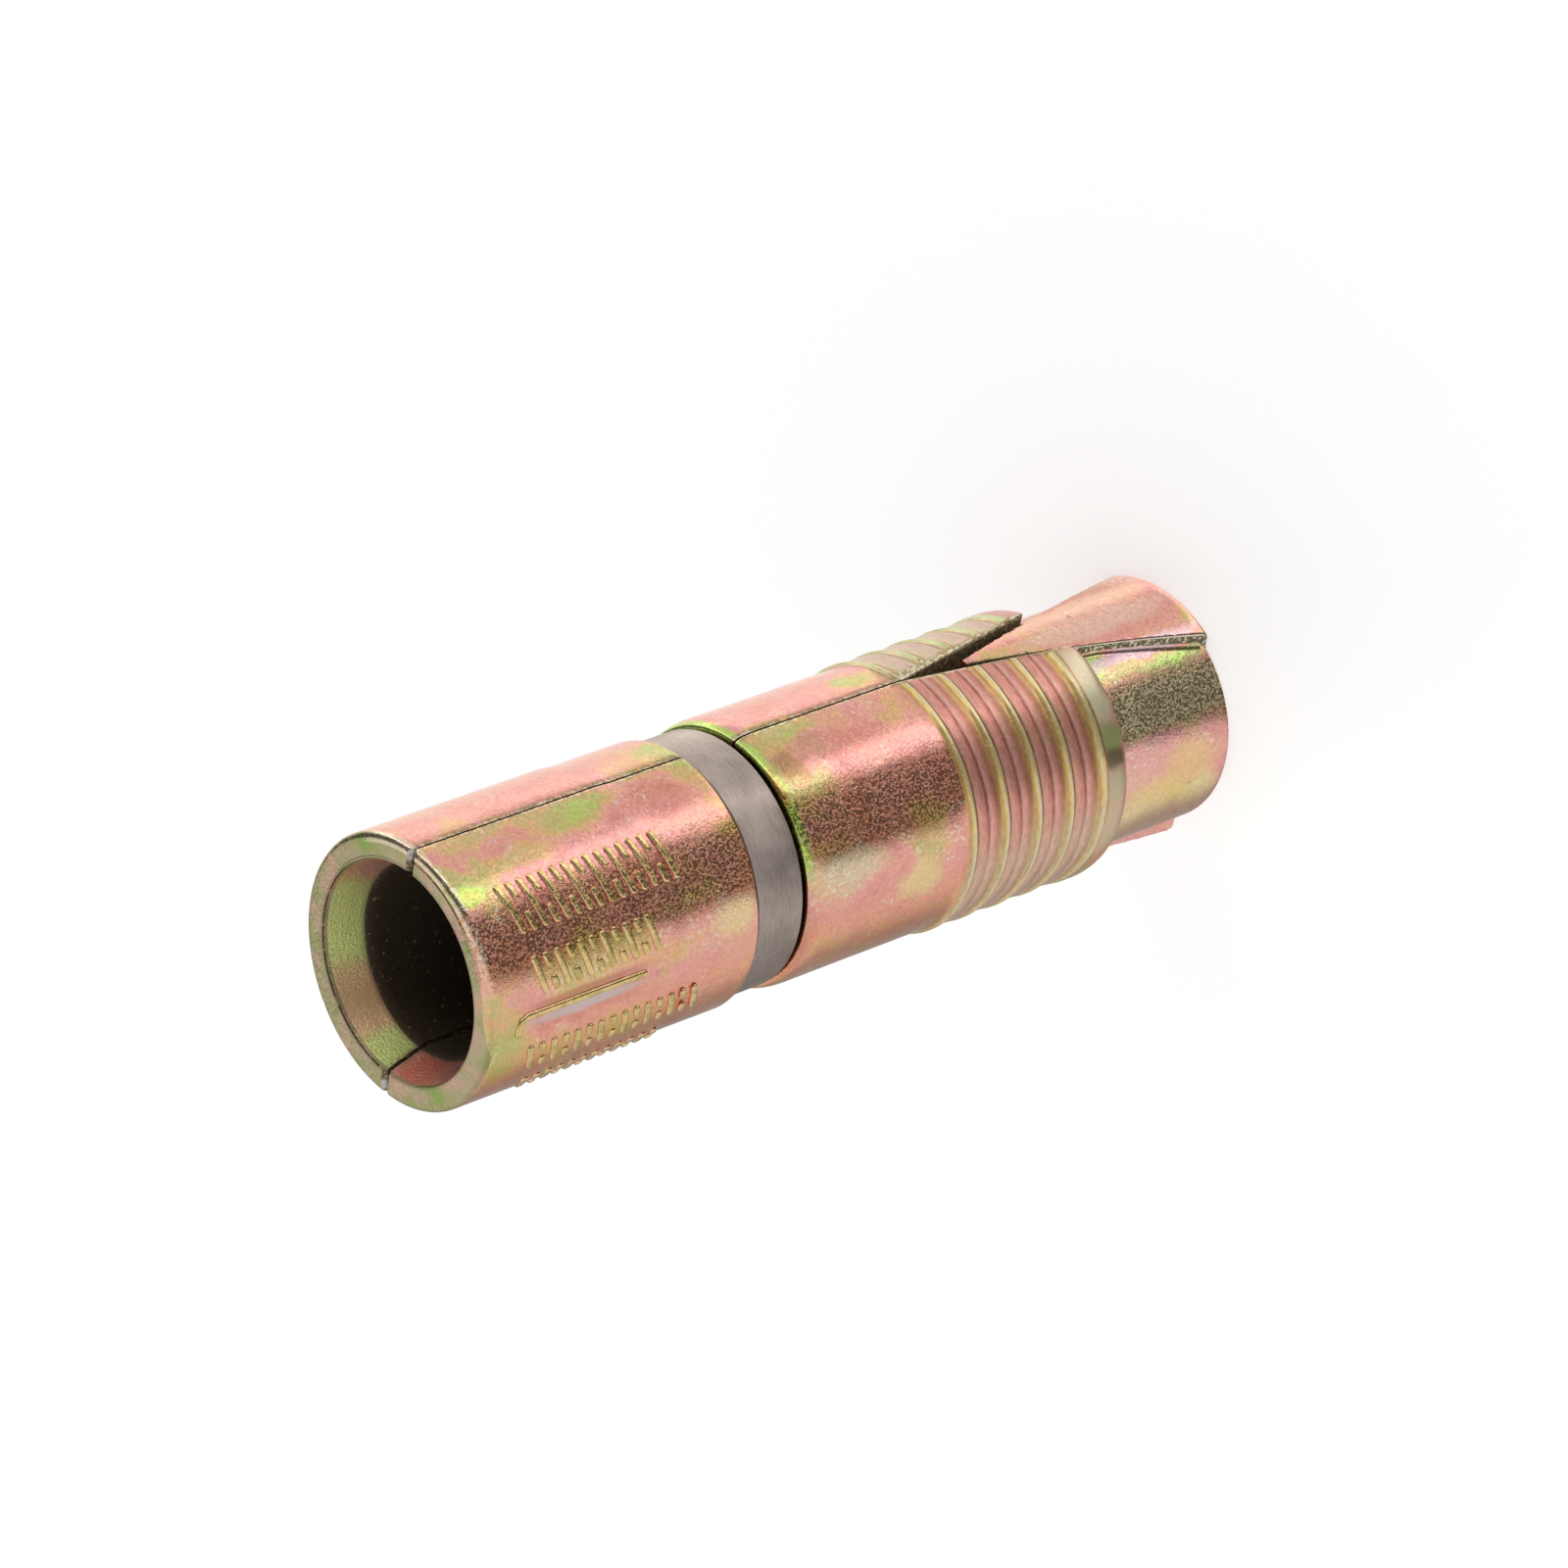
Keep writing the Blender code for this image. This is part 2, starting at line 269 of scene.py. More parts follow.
def freed(bm, name):
    """Turn a bmesh into a mesh and free it."""
    mesh = bpy.data.meshes.new(name)
    bm.to_mesh(mesh)
    bm.free()
    return mesh


def linked(name, data):
    """Make an object and put it in the scene."""
    obj = bpy.data.objects.new(name, data)
    bpy.context.scene.collection.objects.link(obj)
    return obj


def piece(bm, name, material, body, node):
    """Make the finished object, ride it on its body and hide its CAD node."""
    obj = linked(name, freed(bm, name))
    obj.data.materials.append(material)
    obj.data.shade_smooth()
    obj.data.set_sharp_from_angle(angle=SMOOTH_ANGLE)
    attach(obj, body)
    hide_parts(node)


def rim_outline(crease_depth):
    """Flat rim with a fine crease, and the round outer edge of the mouth."""
    centre = (COLLAR_RADIUS - RIM_ROUND, MOUTH - RIM_ROUND)
    crease = [at_station(RIM_CREASE_RADIUS - RIM_CREASE_WIDTH / 2, 0.0),
              at_station(RIM_CREASE_RADIUS, crease_depth),
              at_station(RIM_CREASE_RADIUS + RIM_CREASE_WIDTH / 2, 0.0)]
    return [at_station(MOUTH_RADIUS, 0.0), *crease, *arc(centre, RIM_ROUND, 90, 0, 5)]


def quarter_round(inner, outer, start, length, steps):
    """An edge that rises from the inner radius to the outer one along a quarter ellipse."""
    return [at_station(inner + (outer - inner) * z, start + length * (1 - x))
            for x, z in arc((0.0, 0.0), 1.0, 0, 90, steps)]


def barrel_outline():
    """Collar, band groove, rounded shoulder and plain barrel."""
    groove_start = MOUTH - BAND_TOP - GROOVE_GAP
    groove_end = MOUTH - BAND_FOOT + GROOVE_GAP
    edge_centre = at_station(BARREL_RADIUS - COLLAR_EDGE, groove_start - COLLAR_EDGE)
    return [at_station(COLLAR_RADIUS, COLLAR_LENGTH),
            at_station(BARREL_RADIUS, COLLAR_LENGTH + BARREL_BLEND),
            *arc(edge_centre, COLLAR_EDGE, 0, -90, 4),
            at_station(GROOVE_RADIUS, groove_start),
            at_station(GROOVE_RADIUS, groove_end),
            *quarter_round(SHOULDER_RADIUS, BARREL_RADIUS, groove_end, SHOULDER_LENGTH, 8),
            at_station(BARREL_RADIUS, FIRST_RIB - 0.5 * MM)]


def rib_outline():
    """Crest, a small crease behind it, and a land with a shallow hollow along it."""
    points = []
    for rib in range(RIB_COUNT):
        for past, drop in RIB_SHAPE:
            if rib < RIB_COUNT - 1 or past <= 0.0:
                points.append(at_station(RIB_RADIUS - drop * MM,
                                         FIRST_RIB + rib * RIB_PITCH + past * MM))
    return points


def end_outline():
    """The plain land below the last rib, rounded in to the foot of the shell."""
    last_rib = FIRST_RIB + (RIB_COUNT - 1) * RIB_PITCH
    foot = MOUTH - SHELL_FOOT
    foot_edge = quarter_round(END_RADIUS, END_LAND_RADIUS, foot, -END_ROUND, 7)
    return [at_station(RIB_RADIUS + 0.01 * MM, last_rib + 0.1 * MM),
            at_station(END_LAND_RADIUS, last_rib + 0.35 * MM), *reversed(foot_edge)]


def cone_radius(z):
    slope = (CONE_RADIUS - CONE_SMALL_RADIUS) / (NUT_TOP - CONE_SHANK_HEIGHT)
    return CONE_RADIUS - slope * (z - CONE_SHANK_HEIGHT)


def inside_outline():
    """Tapered seat, straight stretch and bore, from the foot up to the lead-in."""
    foot_radius = cone_radius(SHELL_FOOT) + SEAT_CLEARANCE
    slope = (cone_radius(0.0) - cone_radius(MM)) / MM
    taper_top = SHELL_FOOT + (foot_radius - SEAT_RADIUS) / slope
    return [(foot_radius, SHELL_FOOT), (SEAT_RADIUS, taper_top),
            (SEAT_RADIUS, taper_top + SEAT_STRAIGHT),
            (BORE_RADIUS, taper_top + SEAT_STRAIGHT),
            (BORE_RADIUS, MOUTH - LEAD_IN_DEPTH)]


def cast_ripple(bm):
    """The slight unevenness of a casting, on its outer skin only."""
    for vert in bm.verts:
        from_axis = Vector((vert.co.x, vert.co.y, 0.0))
        if from_axis.length >= OUTER_SKIN_RADIUS:
            swell = noise.noise(vert.co / RIPPLE_SIZE)
            swell += 0.4 * noise.noise(vert.co / (0.35 * RIPPLE_SIZE))
            vert.co += from_axis.normalized() * RIPPLE_DEPTH * swell


def wear_edges(bm):
    """Round the outer edges of the cut faces a little."""
    layer = cut_layer(bm)
    for vert in bm.verts:
        from_axis = Vector((vert.co.x, vert.co.y, 0.0))
        cuts = [face[layer] > 0.5 for face in vert.link_faces]
        if any(cuts) and not all(cuts) and from_axis.length > OUTER_SKIN_RADIUS:
            vert.co -= from_axis.normalized() * EDGE_WEAR


def along(route, distance):
    """Place and direction at a distance along a route of flat (station, arc) points."""
    for a, b in zip(route, route[1:]):
        a, b = Vector(a), Vector(b)
        if distance <= (b - a).length or b == Vector(route[-1]):
            return a + (b - a).normalized() * distance, (b - a).normalized()
        distance -= (b - a).length


def stroke(route, width, height):
    """A raised line with a round top, laid round the collar along a flat route."""
    length = sum((Vector(b) - Vector(a)).length for a, b in zip(route, route[1:]))
    bm = new_form()
    bmesh.ops.create_cube(bm, size=1.0)
    bmesh.ops.scale(bm, verts=bm.verts, vec=(length, width, height + STROKE_ROOT))
    bmesh.ops.translate(bm, verts=bm.verts, vec=(length / 2, 0.0, (height - STROKE_ROOT) / 2))
    upright = [edge for edge in bm.edges if edge.verts[0].co.xy == edge.verts[1].co.xy]
    rounded(bm, upright, 0.45 * width)
    top = [edge for edge in bm.edges if all(abs(v.co.z - height) < MERGE for v in edge.verts)]
    rounded(bm, top, 0.9 * height)
    cuts = max(2, math.ceil(length / STROKE_FACET))
    for cut in range(1, cuts):
        bmesh.ops.bisect_plane(bm, geom=everything(bm), dist=MERGE,
                               plane_co=(length * cut / cuts, 0, 0), plane_no=(1, 0, 0))
    for vert in bm.verts:
        place, ahead = along(route, vert.co.x)
        flat = place + Vector((-ahead.y, ahead.x)) * vert.co.y
        angle = flat.y / COLLAR_RADIUS
        radius = COLLAR_RADIUS + vert.co.z
        vert.co = (radius * math.sin(angle), radius * math.cos(angle), MOUTH - flat.x)
    return bm


def mark(station, turn):
    """A flat point from a station in mm and a turn in degrees."""
    return (station * MM, math.radians(turn) * COLLAR_RADIUS)


def raised_marks(bm):
    """Plain slanted strokes in rows, whole and parted by turns, and one bent ridge."""
    for first, last, high, low, count in MARK_ROWS:
        for place in range(count):
            station = first + (last - first) * place / (count - 1)
            reach = low - high
            spans = ((0.0, 1.0),) if place % 2 == 0 else ((0.0, 0.38), (0.62, 1.0))
            for start, end in spans:
                route = [mark(station + STROKE_SLANT * share, high + reach * share)
                         for share in (start, end)]
                join(bm, stroke(route, STROKE_WIDTH, STROKE_HEIGHT))
    centre = Vector(mark(RIDGE_START + RIDGE_BEND, RIDGE_TURN))
    centre.y += RIDGE_BEND * MM
    bend = [tuple(centre + Vector((x, y))) for x, y in arc((0, 0), RIDGE_BEND * MM, -90, -180, 7)]
    route = [mark(RIDGE_END, RIDGE_TURN), *bend, mark(RIDGE_START, RIDGE_FOOT_TURN)]
    join(bm, stroke(route, RIDGE_WIDTH, RIDGE_HEIGHT))


def fade_crease(bm):
    """Let the crease of the rim run out past the side that the camera sees."""
    for vert in bm.verts:
        depth = MOUTH - vert.co.z
        near_crease = abs(vert.co.xy.length - RIM_CREASE_RADIUS) < RIM_CREASE_WIDTH / 2
        if near_crease and 0.0 < depth < 1.01 * RIM_CREASE_DEPTH:
            turn = math.degrees(math.atan2(vert.co.x, vert.co.y))
            fade = min(1.0, max(0.0, (CREASE_LAST_TURN - turn) / CREASE_FADE_TURN))
            vert.co.z = MOUTH - depth * fade


def relieve_seat(bm):
    """Widen the seat towards the seams, to clear the cone when the halves swing apart."""
    for vert in bm.verts:
        radius = vert.co.xy.length
        seat_radius = max(SEAT_RADIUS, cone_radius(vert.co.z) + SEAT_CLEARANCE)
        if SEAT_RADIUS - MERGE < radius < seat_radius + MERGE:
            vert.co.y += SEAT_RELIEF * vert.co.y / radius


def slot_corner_point(station_share):
    """A point of the slot's outer edge, from its tip at 0 to the foot at 1."""
    x = SEAM_OUTSIDE + (SLOT_HALF_WIDTH - SEAM_OUTSIDE) * station_share
    radius = BARREL_RADIUS + (END_LAND_RADIUS - BARREL_RADIUS) * station_share
    return Vector((x, math.sqrt(radius * radius - x * x),
                   SHELL_FOOT + SLOT_LENGTH * (1 - station_share)))


def round_slot_edge(bm, slot_normal):
    """Round the outer edge of the slot with three narrow planes."""
    tip, foot = slot_corner_point(0.0), slot_corner_point(1.0)
    edge = (foot - tip).normalized()
    inward = Vector((-foot.x / 2, -foot.y, 0.0)).normalized()
    centre = tip.lerp(foot, 0.5) + SLOT_EDGE * (slot_normal + inward)
    for angle in (22.5, 45.0, 67.5):
        turned = math.radians(angle)
        normal = slot_normal * math.cos(turned) + inward * math.sin(turned)
        normal = (normal - edge * normal.dot(edge)).normalized()
        pare(bm, centre - SLOT_EDGE * normal, normal, share=0.5)


def cut_edges(bm):
    """Cut the seam, the V slot with its rounded corner, and the notch at the mouth."""
    wall = COLLAR_RADIUS - BORE_RADIUS
    seam_normal = Vector((wall, SEAM_INSIDE - SEAM_OUTSIDE, 0.0)).normalized()
    pare(bm, (SEAM_OUTSIDE, COLLAR_RADIUS, 0.0), seam_normal)
    lean = math.atan2(SLOT_HALF_WIDTH - SEAM_OUTSIDE, SLOT_LENGTH)
    slot_normal = Vector((math.cos(lean), 0.0, math.sin(lean)))
    pare(bm, (SEAM_OUTSIDE, 0.0, SHELL_FOOT + SLOT_LENGTH), slot_normal)
    round_slot_edge(bm, slot_normal)
    centre = Vector((SLOT_HALF_WIDTH + SLOT_CORNER * (1 - math.sin(lean)) / math.cos(lean),
                     0.0, SHELL_FOOT + SLOT_CORNER))
    for step in range(1, 6):
        angle = lean + (math.pi / 2 - lean) * step / 6
        normal = Vector((math.cos(angle), 0.0, math.sin(angle)))
        pare(bm, centre - normal * SLOT_CORNER, normal)
    notch = math.atan2(NOTCH_DEPTH, NOTCH_HALF_WIDTH)
    pare(bm, (NOTCH_HALF_WIDTH, 0.0, MOUTH), (math.sin(notch), 0.0, -math.cos(notch)))


def half_shell(name, side, body, node, material):
    """Half of the sleeve: a quarter is turned, cut for seam and slot, and mirrored."""
    crease_depth = RIM_CREASE_DEPTH if side > 0 else 0.0
    outline = finely(rim_outline(crease_depth) + barrel_outline() + rib_outline()
                     + end_outline() + inside_outline())
    bm = spun(outline, math.pi / 2)
    for face in bm.faces:
        centre = face.calc_center_median()
        seat_radius = max(BORE_RADIUS, cone_radius(centre.z) + SEAT_CLEARANCE)
        if centre.xy.length < seat_radius + 0.1 * MM:
            face[cut_layer(bm)] = 1.0
    relieve_seat(bm)
    cut_edges(bm)
    bmesh.ops.mirror(bm, geom=everything(bm), axis="Y", merge_dist=MERGE)
    bmesh.ops.remove_doubles(bm, verts=bm.verts, dist=MERGE)
    if side < 0:
        rotated(bm, bm.verts[:], math.pi)
    wear_edges(bm)
    if side > 0:
        fade_crease(bm)
        raised_marks(bm)
    cast_ripple(bm)
    piece(outward(bm), name, material, body, node)


def steel_band(material):
    """The flat steel strip rolled into a ring, with broken edges."""
    inner = BAND_RADIUS - BAND_THICKNESS
    middle = BAND_RADIUS - BAND_EDGE
    outline = [(inner, BAND_FOOT), (inner, BAND_TOP),
               *arc((middle, BAND_TOP - BAND_EDGE), BAND_EDGE, 90, 0, 3),
               *arc((middle, BAND_FOOT + BAND_EDGE), BAND_EDGE, 0, -90, 3)]
    bm = outward(spun(finely(outline), math.tau, steps=4 * STEPS_PER_QUARTER))
    piece(bm, "steel_band", material, "band", "retaining_band")


def wing_half_width(z):
    slope = (WING_HALF_WIDTH - WING_TIP_HALF_WIDTH) / WING_HEIGHT
    return WING_HALF_WIDTH - slope * z


def wing(bm_nut, side):
    """One wing of the nut: a turned block cut to the V of its slot."""
    foot = WING_FOOT_ROUND
    outline = [(WING_ROOT_RADIUS, 0.0), (WING_ROOT_RADIUS, WING_HEIGHT),
               (WING_TOP_RADIUS, WING_HEIGHT), (WING_RADIUS, foot + 0.1 * MM),
               (WING_RADIUS - foot * 0.3, foot * 0.3), (WING_RADIUS - foot, 0.0)]
    bm = spun(finely(outline), 2 * WING_REACH, start=math.pi / 2 - WING_REACH,
              steps=WING_STEPS)
    bmesh.ops.holes_fill(bm, edges=[edge for edge in bm.edges if edge.is_boundary])
    lean = math.atan2(WING_HALF_WIDTH - WING_TIP_HALF_WIDTH, WING_HEIGHT)
    for hand in (1, -1):
        pare(bm, (hand * WING_HALF_WIDTH, 0.0, 0.0),
             (-hand * math.cos(lean), 0.0, -math.sin(lean)))
    sharp = [edge for edge in bm.edges
             if len(edge.link_faces) == 2 and edge.calc_face_angle() > SHARP_CORNER
             and all(vert.co.xy.length > CONE_RADIUS for vert in edge.verts)]
    rounded(bm, sharp, WING_EDGE, clamp=False)
    if side < 0:
        for face in bm.faces:
            face[cut_layer(bm)] = 0.0
        rotated(bm, bm.verts[:], math.pi)
    join(bm_nut, outward(bm))
    for hand in (1, -1):
        join(bm_nut, wing_fillet(side, hand))


def fillet_section(z, side, hand):
    """Points of the fillet between a wing's flank and the body, at one height."""
    foot = wing_half_width(z)
    body = min(CONE_RADIUS, cone_radius(z))
    size = WING_FILLET * min(1.0, max(0.05, (WING_HEIGHT - z) / (4 * MM)))
    root = 0.2 * MM
    flat = [(foot - root, body - root), (foot - root, body + size)]
    flat += [(foot + size + x, body + size + y)
             for x, y in arc((0.0, 0.0), size, 180, 270, 5)]
    flat.append((foot + size, body - root))
    return [(hand * x, side * math.sqrt(radius * radius - x * x), z) for x, radius in flat]


def wing_fillet(side, hand):
    """The soft fillet along a wing's flank: one section, drawn up from the foot to the tip."""
    low, top = NUT_CHAMFER, WING_HEIGHT - 0.5 * MM
    bm = new_form()
    face = bm.faces.new([bm.verts.new(place) for place in fillet_section(low, side, hand)])
    for row in range(1, FILLET_ROWS + 1):
        drawn = bmesh.ops.extrude_face_region(bm, geom=[face])
        faces = [item for item in drawn["geom"] if isinstance(item, bmesh.types.BMFace)]
        if row > 1:
            bm.faces.remove(face)
        face = faces[0]
        section = fillet_section(low + (top - low) * row / FILLET_ROWS, side, hand)
        for vert, place in zip([loop.vert for loop in face.loops], section):
            vert.co = place
    return outward(bm)


def join(bm, other):
    """Add one bmesh to another and free it."""
    mesh = freed(other, "joined_form")
    bm.from_mesh(mesh)
    bpy.data.meshes.remove(mesh)


def bore_thread():
    """The helical ridge of the nut's internal thread."""
    turns = int((NUT_TOP - 2 * NUT_CHAMFER) / THREAD_PITCH) - 1
    root = NUT_BORE_RADIUS + 0.1 * MM
    ridge = [(root, NUT_CHAMFER), (NUT_BORE_RADIUS - THREAD_DEPTH, NUT_CHAMFER + 0.6 * MM),
             (NUT_BORE_RADIUS - THREAD_DEPTH, NUT_CHAMFER + 0.8 * MM),
             (root, NUT_CHAMFER + 1.4 * MM)]
    bm = new_form()
    bmesh.ops.spin(bm, geom=closed_line(bm, ridge), cent=(0, 0, 0), axis=(0, 0, 1),
                   angle=math.tau * turns, steps=THREAD_STEPS * turns, use_merge=False,
                   use_duplicate=False, dvec=(0, 0, THREAD_PITCH / THREAD_STEPS))
    bmesh.ops.holes_fill(bm, edges=[edge for edge in bm.edges if edge.is_boundary])
    return outward(bm)


def winged_nut(material):
    """Shank, cone, wings and thread."""
    outline = [(NUT_BORE_RADIUS + NUT_CHAMFER, 0.0),
               *arc((CONE_RADIUS - NUT_EDGE, NUT_EDGE), NUT_EDGE, -90, 0, 4),
               *eased((CONE_RADIUS, CONE_SHANK_HEIGHT - MM),
                      (cone_radius(CONE_SHANK_HEIGHT + MM), CONE_SHANK_HEIGHT + MM), 4),
               (cone_radius(NUT_TOP - NUT_EDGE), NUT_TOP - NUT_EDGE),
               (CONE_SMALL_RADIUS - NUT_EDGE, NUT_TOP), (NUT_BORE_RADIUS, NUT_TOP),
               (NUT_BORE_RADIUS, NUT_CHAMFER)]
    bm = outward(spun(finely(outline), math.tau, steps=4 * STEPS_PER_QUARTER))
    wing(bm, 1)
    wing(bm, -1)
    join(bm, bore_thread())
    piece(bm, "winged_cone_nut", material, "nut", "cone_nut")


class Wiring:
    """Short calls for building a node tree. Values are numbers or sockets."""

    def __init__(self, tree):
        self.tree = tree

    def node(self, kind, values=None, **settings):
        made = self.tree.nodes.new(kind)
        for key, value in settings.items():
            setattr(made, key, value)
        for key, value in (values or {}).items():
            self.feed(made.inputs[key], value)
        return made

    def feed(self, socket, value):
        if isinstance(value, bpy.types.NodeSocket):
            self.tree.links.new(value, socket)
        else:
            socket.default_value = value

    def sums(self, operation, a, b=0.0, c=0.0, clamp=False):
        made = self.node("ShaderNodeMath", operation=operation, use_clamp=clamp)
        for socket, value in zip(made.inputs, (a, b, c)):
            self.feed(socket, value)
        return made.outputs[0]

    def chain(self, operation, first, *others):
        """Join values one after the other by one operation."""
        for other in others:
            first = self.sums(operation, first, other)
        return first

    def times(self, *factors):
        return self.chain("MULTIPLY", *factors)

    def plus(self, *terms):
        return self.chain("ADD", *terms)

    def most(self, *values):
        return self.chain("MAXIMUM", *values)

    def minus(self, a, b):
        return self.sums("SUBTRACT", a, b)

    def over(self, a, b):
        return self.sums("DIVIDE", a, b)

    def apart(self, a, b):
        return self.sums("ABSOLUTE", self.minus(a, b))

    def vector(self, operation, a, b=(0.0, 0.0, 0.0), output="Vector", scale=None):
        made = self.node("ShaderNodeVectorMath", operation=operation)
        self.feed(made.inputs[0], a)
        self.feed(made.inputs[1], b)
        if scale is not None:
            self.feed(made.inputs["Scale"], scale)
        return made.outputs[output]

    def scaled(self, vector, scale):
        return self.vector("SCALE", vector, scale=scale)

    def length(self, vector):
        return self.vector("LENGTH", vector, output="Value")

    def flat(self, x, y):
        return self.node("ShaderNodeCombineXYZ", {"X": x, "Y": y}).outputs[0]

    def noise_at(self, place, size, detail=2.0, roughness=0.5, distortion=0.0, output="Fac"):
        """Noise with features of about the given size in metres."""
        made = self.node("ShaderNodeTexNoise", {
            "Vector": place, "Scale": 1.0 / size, "Detail": detail,
            "Roughness": roughness, "Distortion": distortion})
        return made.outputs[output]

    def ramp(self, factor, stops):
        made = self.node("ShaderNodeValToRGB", {"Fac": factor})
        elements = made.color_ramp.elements
        while len(elements) < len(stops):
            elements.new(0.5)
        for element, (position, colour) in zip(elements, stops):
            element.position = position
            element.color = (*colour, 1.0)
        return made.outputs["Color"]

    def levels(self, factor, stops):
        """A ramp of plain numbers."""
        return self.ramp(factor, [(position, (level,) * 3) for position, level in stops])

    def span(self, value, low, high, to_low=0.0, to_high=1.0, smooth=True):
        made = self.node("ShaderNodeMapRange", {
            "Value": value, "From Min": low, "From Max": high,
            "To Min": to_low, "To Max": to_high})
        made.interpolation_type = "SMOOTHSTEP" if smooth else "LINEAR"
        return made.outputs["Result"]

    def falling(self, value, low, high):
        """1 up to the low value, 0 from the high one."""
        return self.span(value, low, high, 1.0, 0.0)

    def within(self, value, rise, fall):
        """1 between the end of the rise and the start of the fall, 0 outside them."""
        return self.times(self.span(value, *rise), self.falling(value, *fall))

    def blend(self, factor, a, b):
        """One number or the other, by a factor."""
        made = self.node("ShaderNodeMix", {"Factor": factor}, data_type="FLOAT")
        self.feed(made.inputs["A"], a)
        self.feed(made.inputs["B"], b)
        return made.outputs["Result"]

    def mix(self, factor, a, b, blend="MIX"):
        """One colour or the other, by a factor."""
        made = self.node("ShaderNodeMix", data_type="RGBA", blend_type=blend)
        self.feed(made.inputs["Factor"], factor)
        for key, colour in (("A", a), ("B", b)):
            self.feed(made.inputs[key], (*colour, 1.0) if isinstance(colour, tuple) else colour)
        return made.outputs["Result"]


# Colours of the chromate film as it thickens, and the thickness of its drifting patches
FILM = (
    (0.0, (0.38, 0.24, 0.09)), (0.14, (0.84, 0.57, 0.2)), (0.28, (0.62, 0.86, 0.24)),
    (0.38, (0.66, 0.61, 0.27)), (0.52, (0.9, 0.56, 0.3)), (0.66, (0.97, 0.46, 0.42)),
    (0.84, (0.84, 0.34, 0.3)), (1.0, (0.66, 0.52, 0.5)))
FILM_PATCHES = (
    (0.28, 0.36), (0.36, 0.44), (0.42, 0.57), (0.49, 0.66), (0.6, 0.7), (0.7, 0.86))
ZINC = (0.74, 0.68, 0.66)
WORN_EDGE = (0.95, 0.84, 0.62)
GOLD = (0.9, 0.66, 0.27)
OLIVE_GOLD = (0.58, 0.48, 0.16)
GOLDEN_CAST = (1.0, 0.96, 0.62)
BEIGE = (0.86, 0.74, 0.5)
GRIME = (0.36, 0.25, 0.13)
# Near-black painted shade for the insides of the bores, and pale flecks in it
BORE_PAINTED_SHADE = (0.1, 0.075, 0.05)
BORE_SPECK = (0.62, 0.47, 0.2)
# Dark olive painted as shade in the groove under the band
GROOVE_OLIVE_SHADE = (0.26, 0.24, 0.11)
RIM_LINE = (0.12, 0.08, 0.04)
PIT_DARK = (0.16, 0.1, 0.06)
EDGE_TINT = (1.0, 0.95, 0.87)

# Two colours each, told apart by flecks: cut faces, rounded lips and the wings' flanks.
# The dark colours of the cut faces and the flanks are painted shade, for faces that lie
# inside and in the gaps between parts
CUT_SHADE_PAIR = ((0.22, 0.165, 0.1), (0.7, 0.57, 0.38))
LIP_PAIR = ((0.52, 0.4, 0.18), WORN_EDGE)
FLANK_SHADE_PAIR = ((0.17, 0.14, 0.08), (0.84, 0.74, 0.56))

# Colours along one rib and its land, from the brown before the crest to the next rib.
# They are film colours with painted light in them: painted highlight on the crest and in a
# pink stripe on the land, painted shade on the brown flank before the crest, in the dark
# crease behind it and in the red-brown stripe along the land's hollow. On the back shell
# the cream and lime stripes are partly painted highlight
RIB_COLOURS_AND_PAINTED_LIGHT = (
    (0.0, (0.84, 0.52, 0.19)), (0.045, (0.74, 0.44, 0.15)), (0.07, (0.98, 0.7, 0.2)),
    (0.12, (1.0, 0.88, 0.42)), (0.165, (0.98, 0.8, 0.32)), (0.205, (0.94, 0.7, 0.22)),
    (0.225, (0.4, 0.28, 0.1)), (0.238, (0.1, 0.07, 0.03)), (0.256, (0.14, 0.08, 0.04)),
    (0.275, (0.8, 0.38, 0.26)), (0.33, (0.98, 0.5, 0.4)), (0.4, (0.99, 0.42, 0.34)),
    (0.5, (0.94, 0.37, 0.3)), (0.55, (0.54, 0.16, 0.11)), (0.6, (0.56, 0.17, 0.12)),
    (0.64, (1.0, 0.56, 0.48)), (0.69, (1.0, 0.53, 0.45)), (0.76, (0.92, 0.36, 0.28)),
    (0.84, (0.62, 0.26, 0.15)), (0.93, (0.74, 0.4, 0.19)), (1.0, (0.84, 0.52, 0.19)))
BACK_RIB_COLOURS_AND_PAINTED_LIGHT = (
    (0.0, (0.55, 0.4, 0.22)), (0.06, (0.97, 0.8, 0.46)), (0.11, (0.64, 0.9, 0.34)),
    (0.25, (0.6, 0.86, 0.32)), (0.29, (0.86, 0.5, 0.26)), (0.34, (0.98, 0.8, 0.52)),
    (0.44, (0.8, 0.66, 0.42)), (0.7, (0.88, 0.6, 0.48)), (0.9, (0.8, 0.62, 0.44)),
    (1.0, (0.55, 0.4, 0.22)))
RIM_COLOURS = (
    (0.32, (0.3, 0.44, 0.11)), (0.4, (0.4, 0.4, 0.17)), (0.5, (0.49, 0.42, 0.25)),
    (0.62, (0.66, 0.42, 0.31)))

# Three strengths round the anchor, from the -Y seam by way of the back shell: how golden
# the film is, partly as painted shade that is strongest in the dark band; how light the
# steel band is, as painted highlight and shade; and how strong the grain of the casting is
# Golden strengths are partly painted shade: high in the dark band from 40 to 62 degrees, nil in
# the highlight band near 32
GOLDEN_AND_SHADE_TURNS = (
    (-180, 0.2), (-90, 0.4), (-50, 0.1), (-20, 0.0), (0, 0.2), (14, 0.35), (24, 0.15),
    (32, 0.0), (40, 0.7), (62, 0.85), (72, 0.2), (84, 0.15), (96, 0.5), (112, 0.95),
    (140, 0.7), (180, 0.2))
BAND_PAINTED_LIGHT_TURNS = (
    (-180, 0.95), (-60, 1.0), (-20, 1.35), (0, 0.95), (20, 0.95), (29, 1.3), (38, 1.3),
    (47, 1.45), (62, 1.0), (76, 1.0), (96, 0.85), (120, 0.6), (180, 0.95))
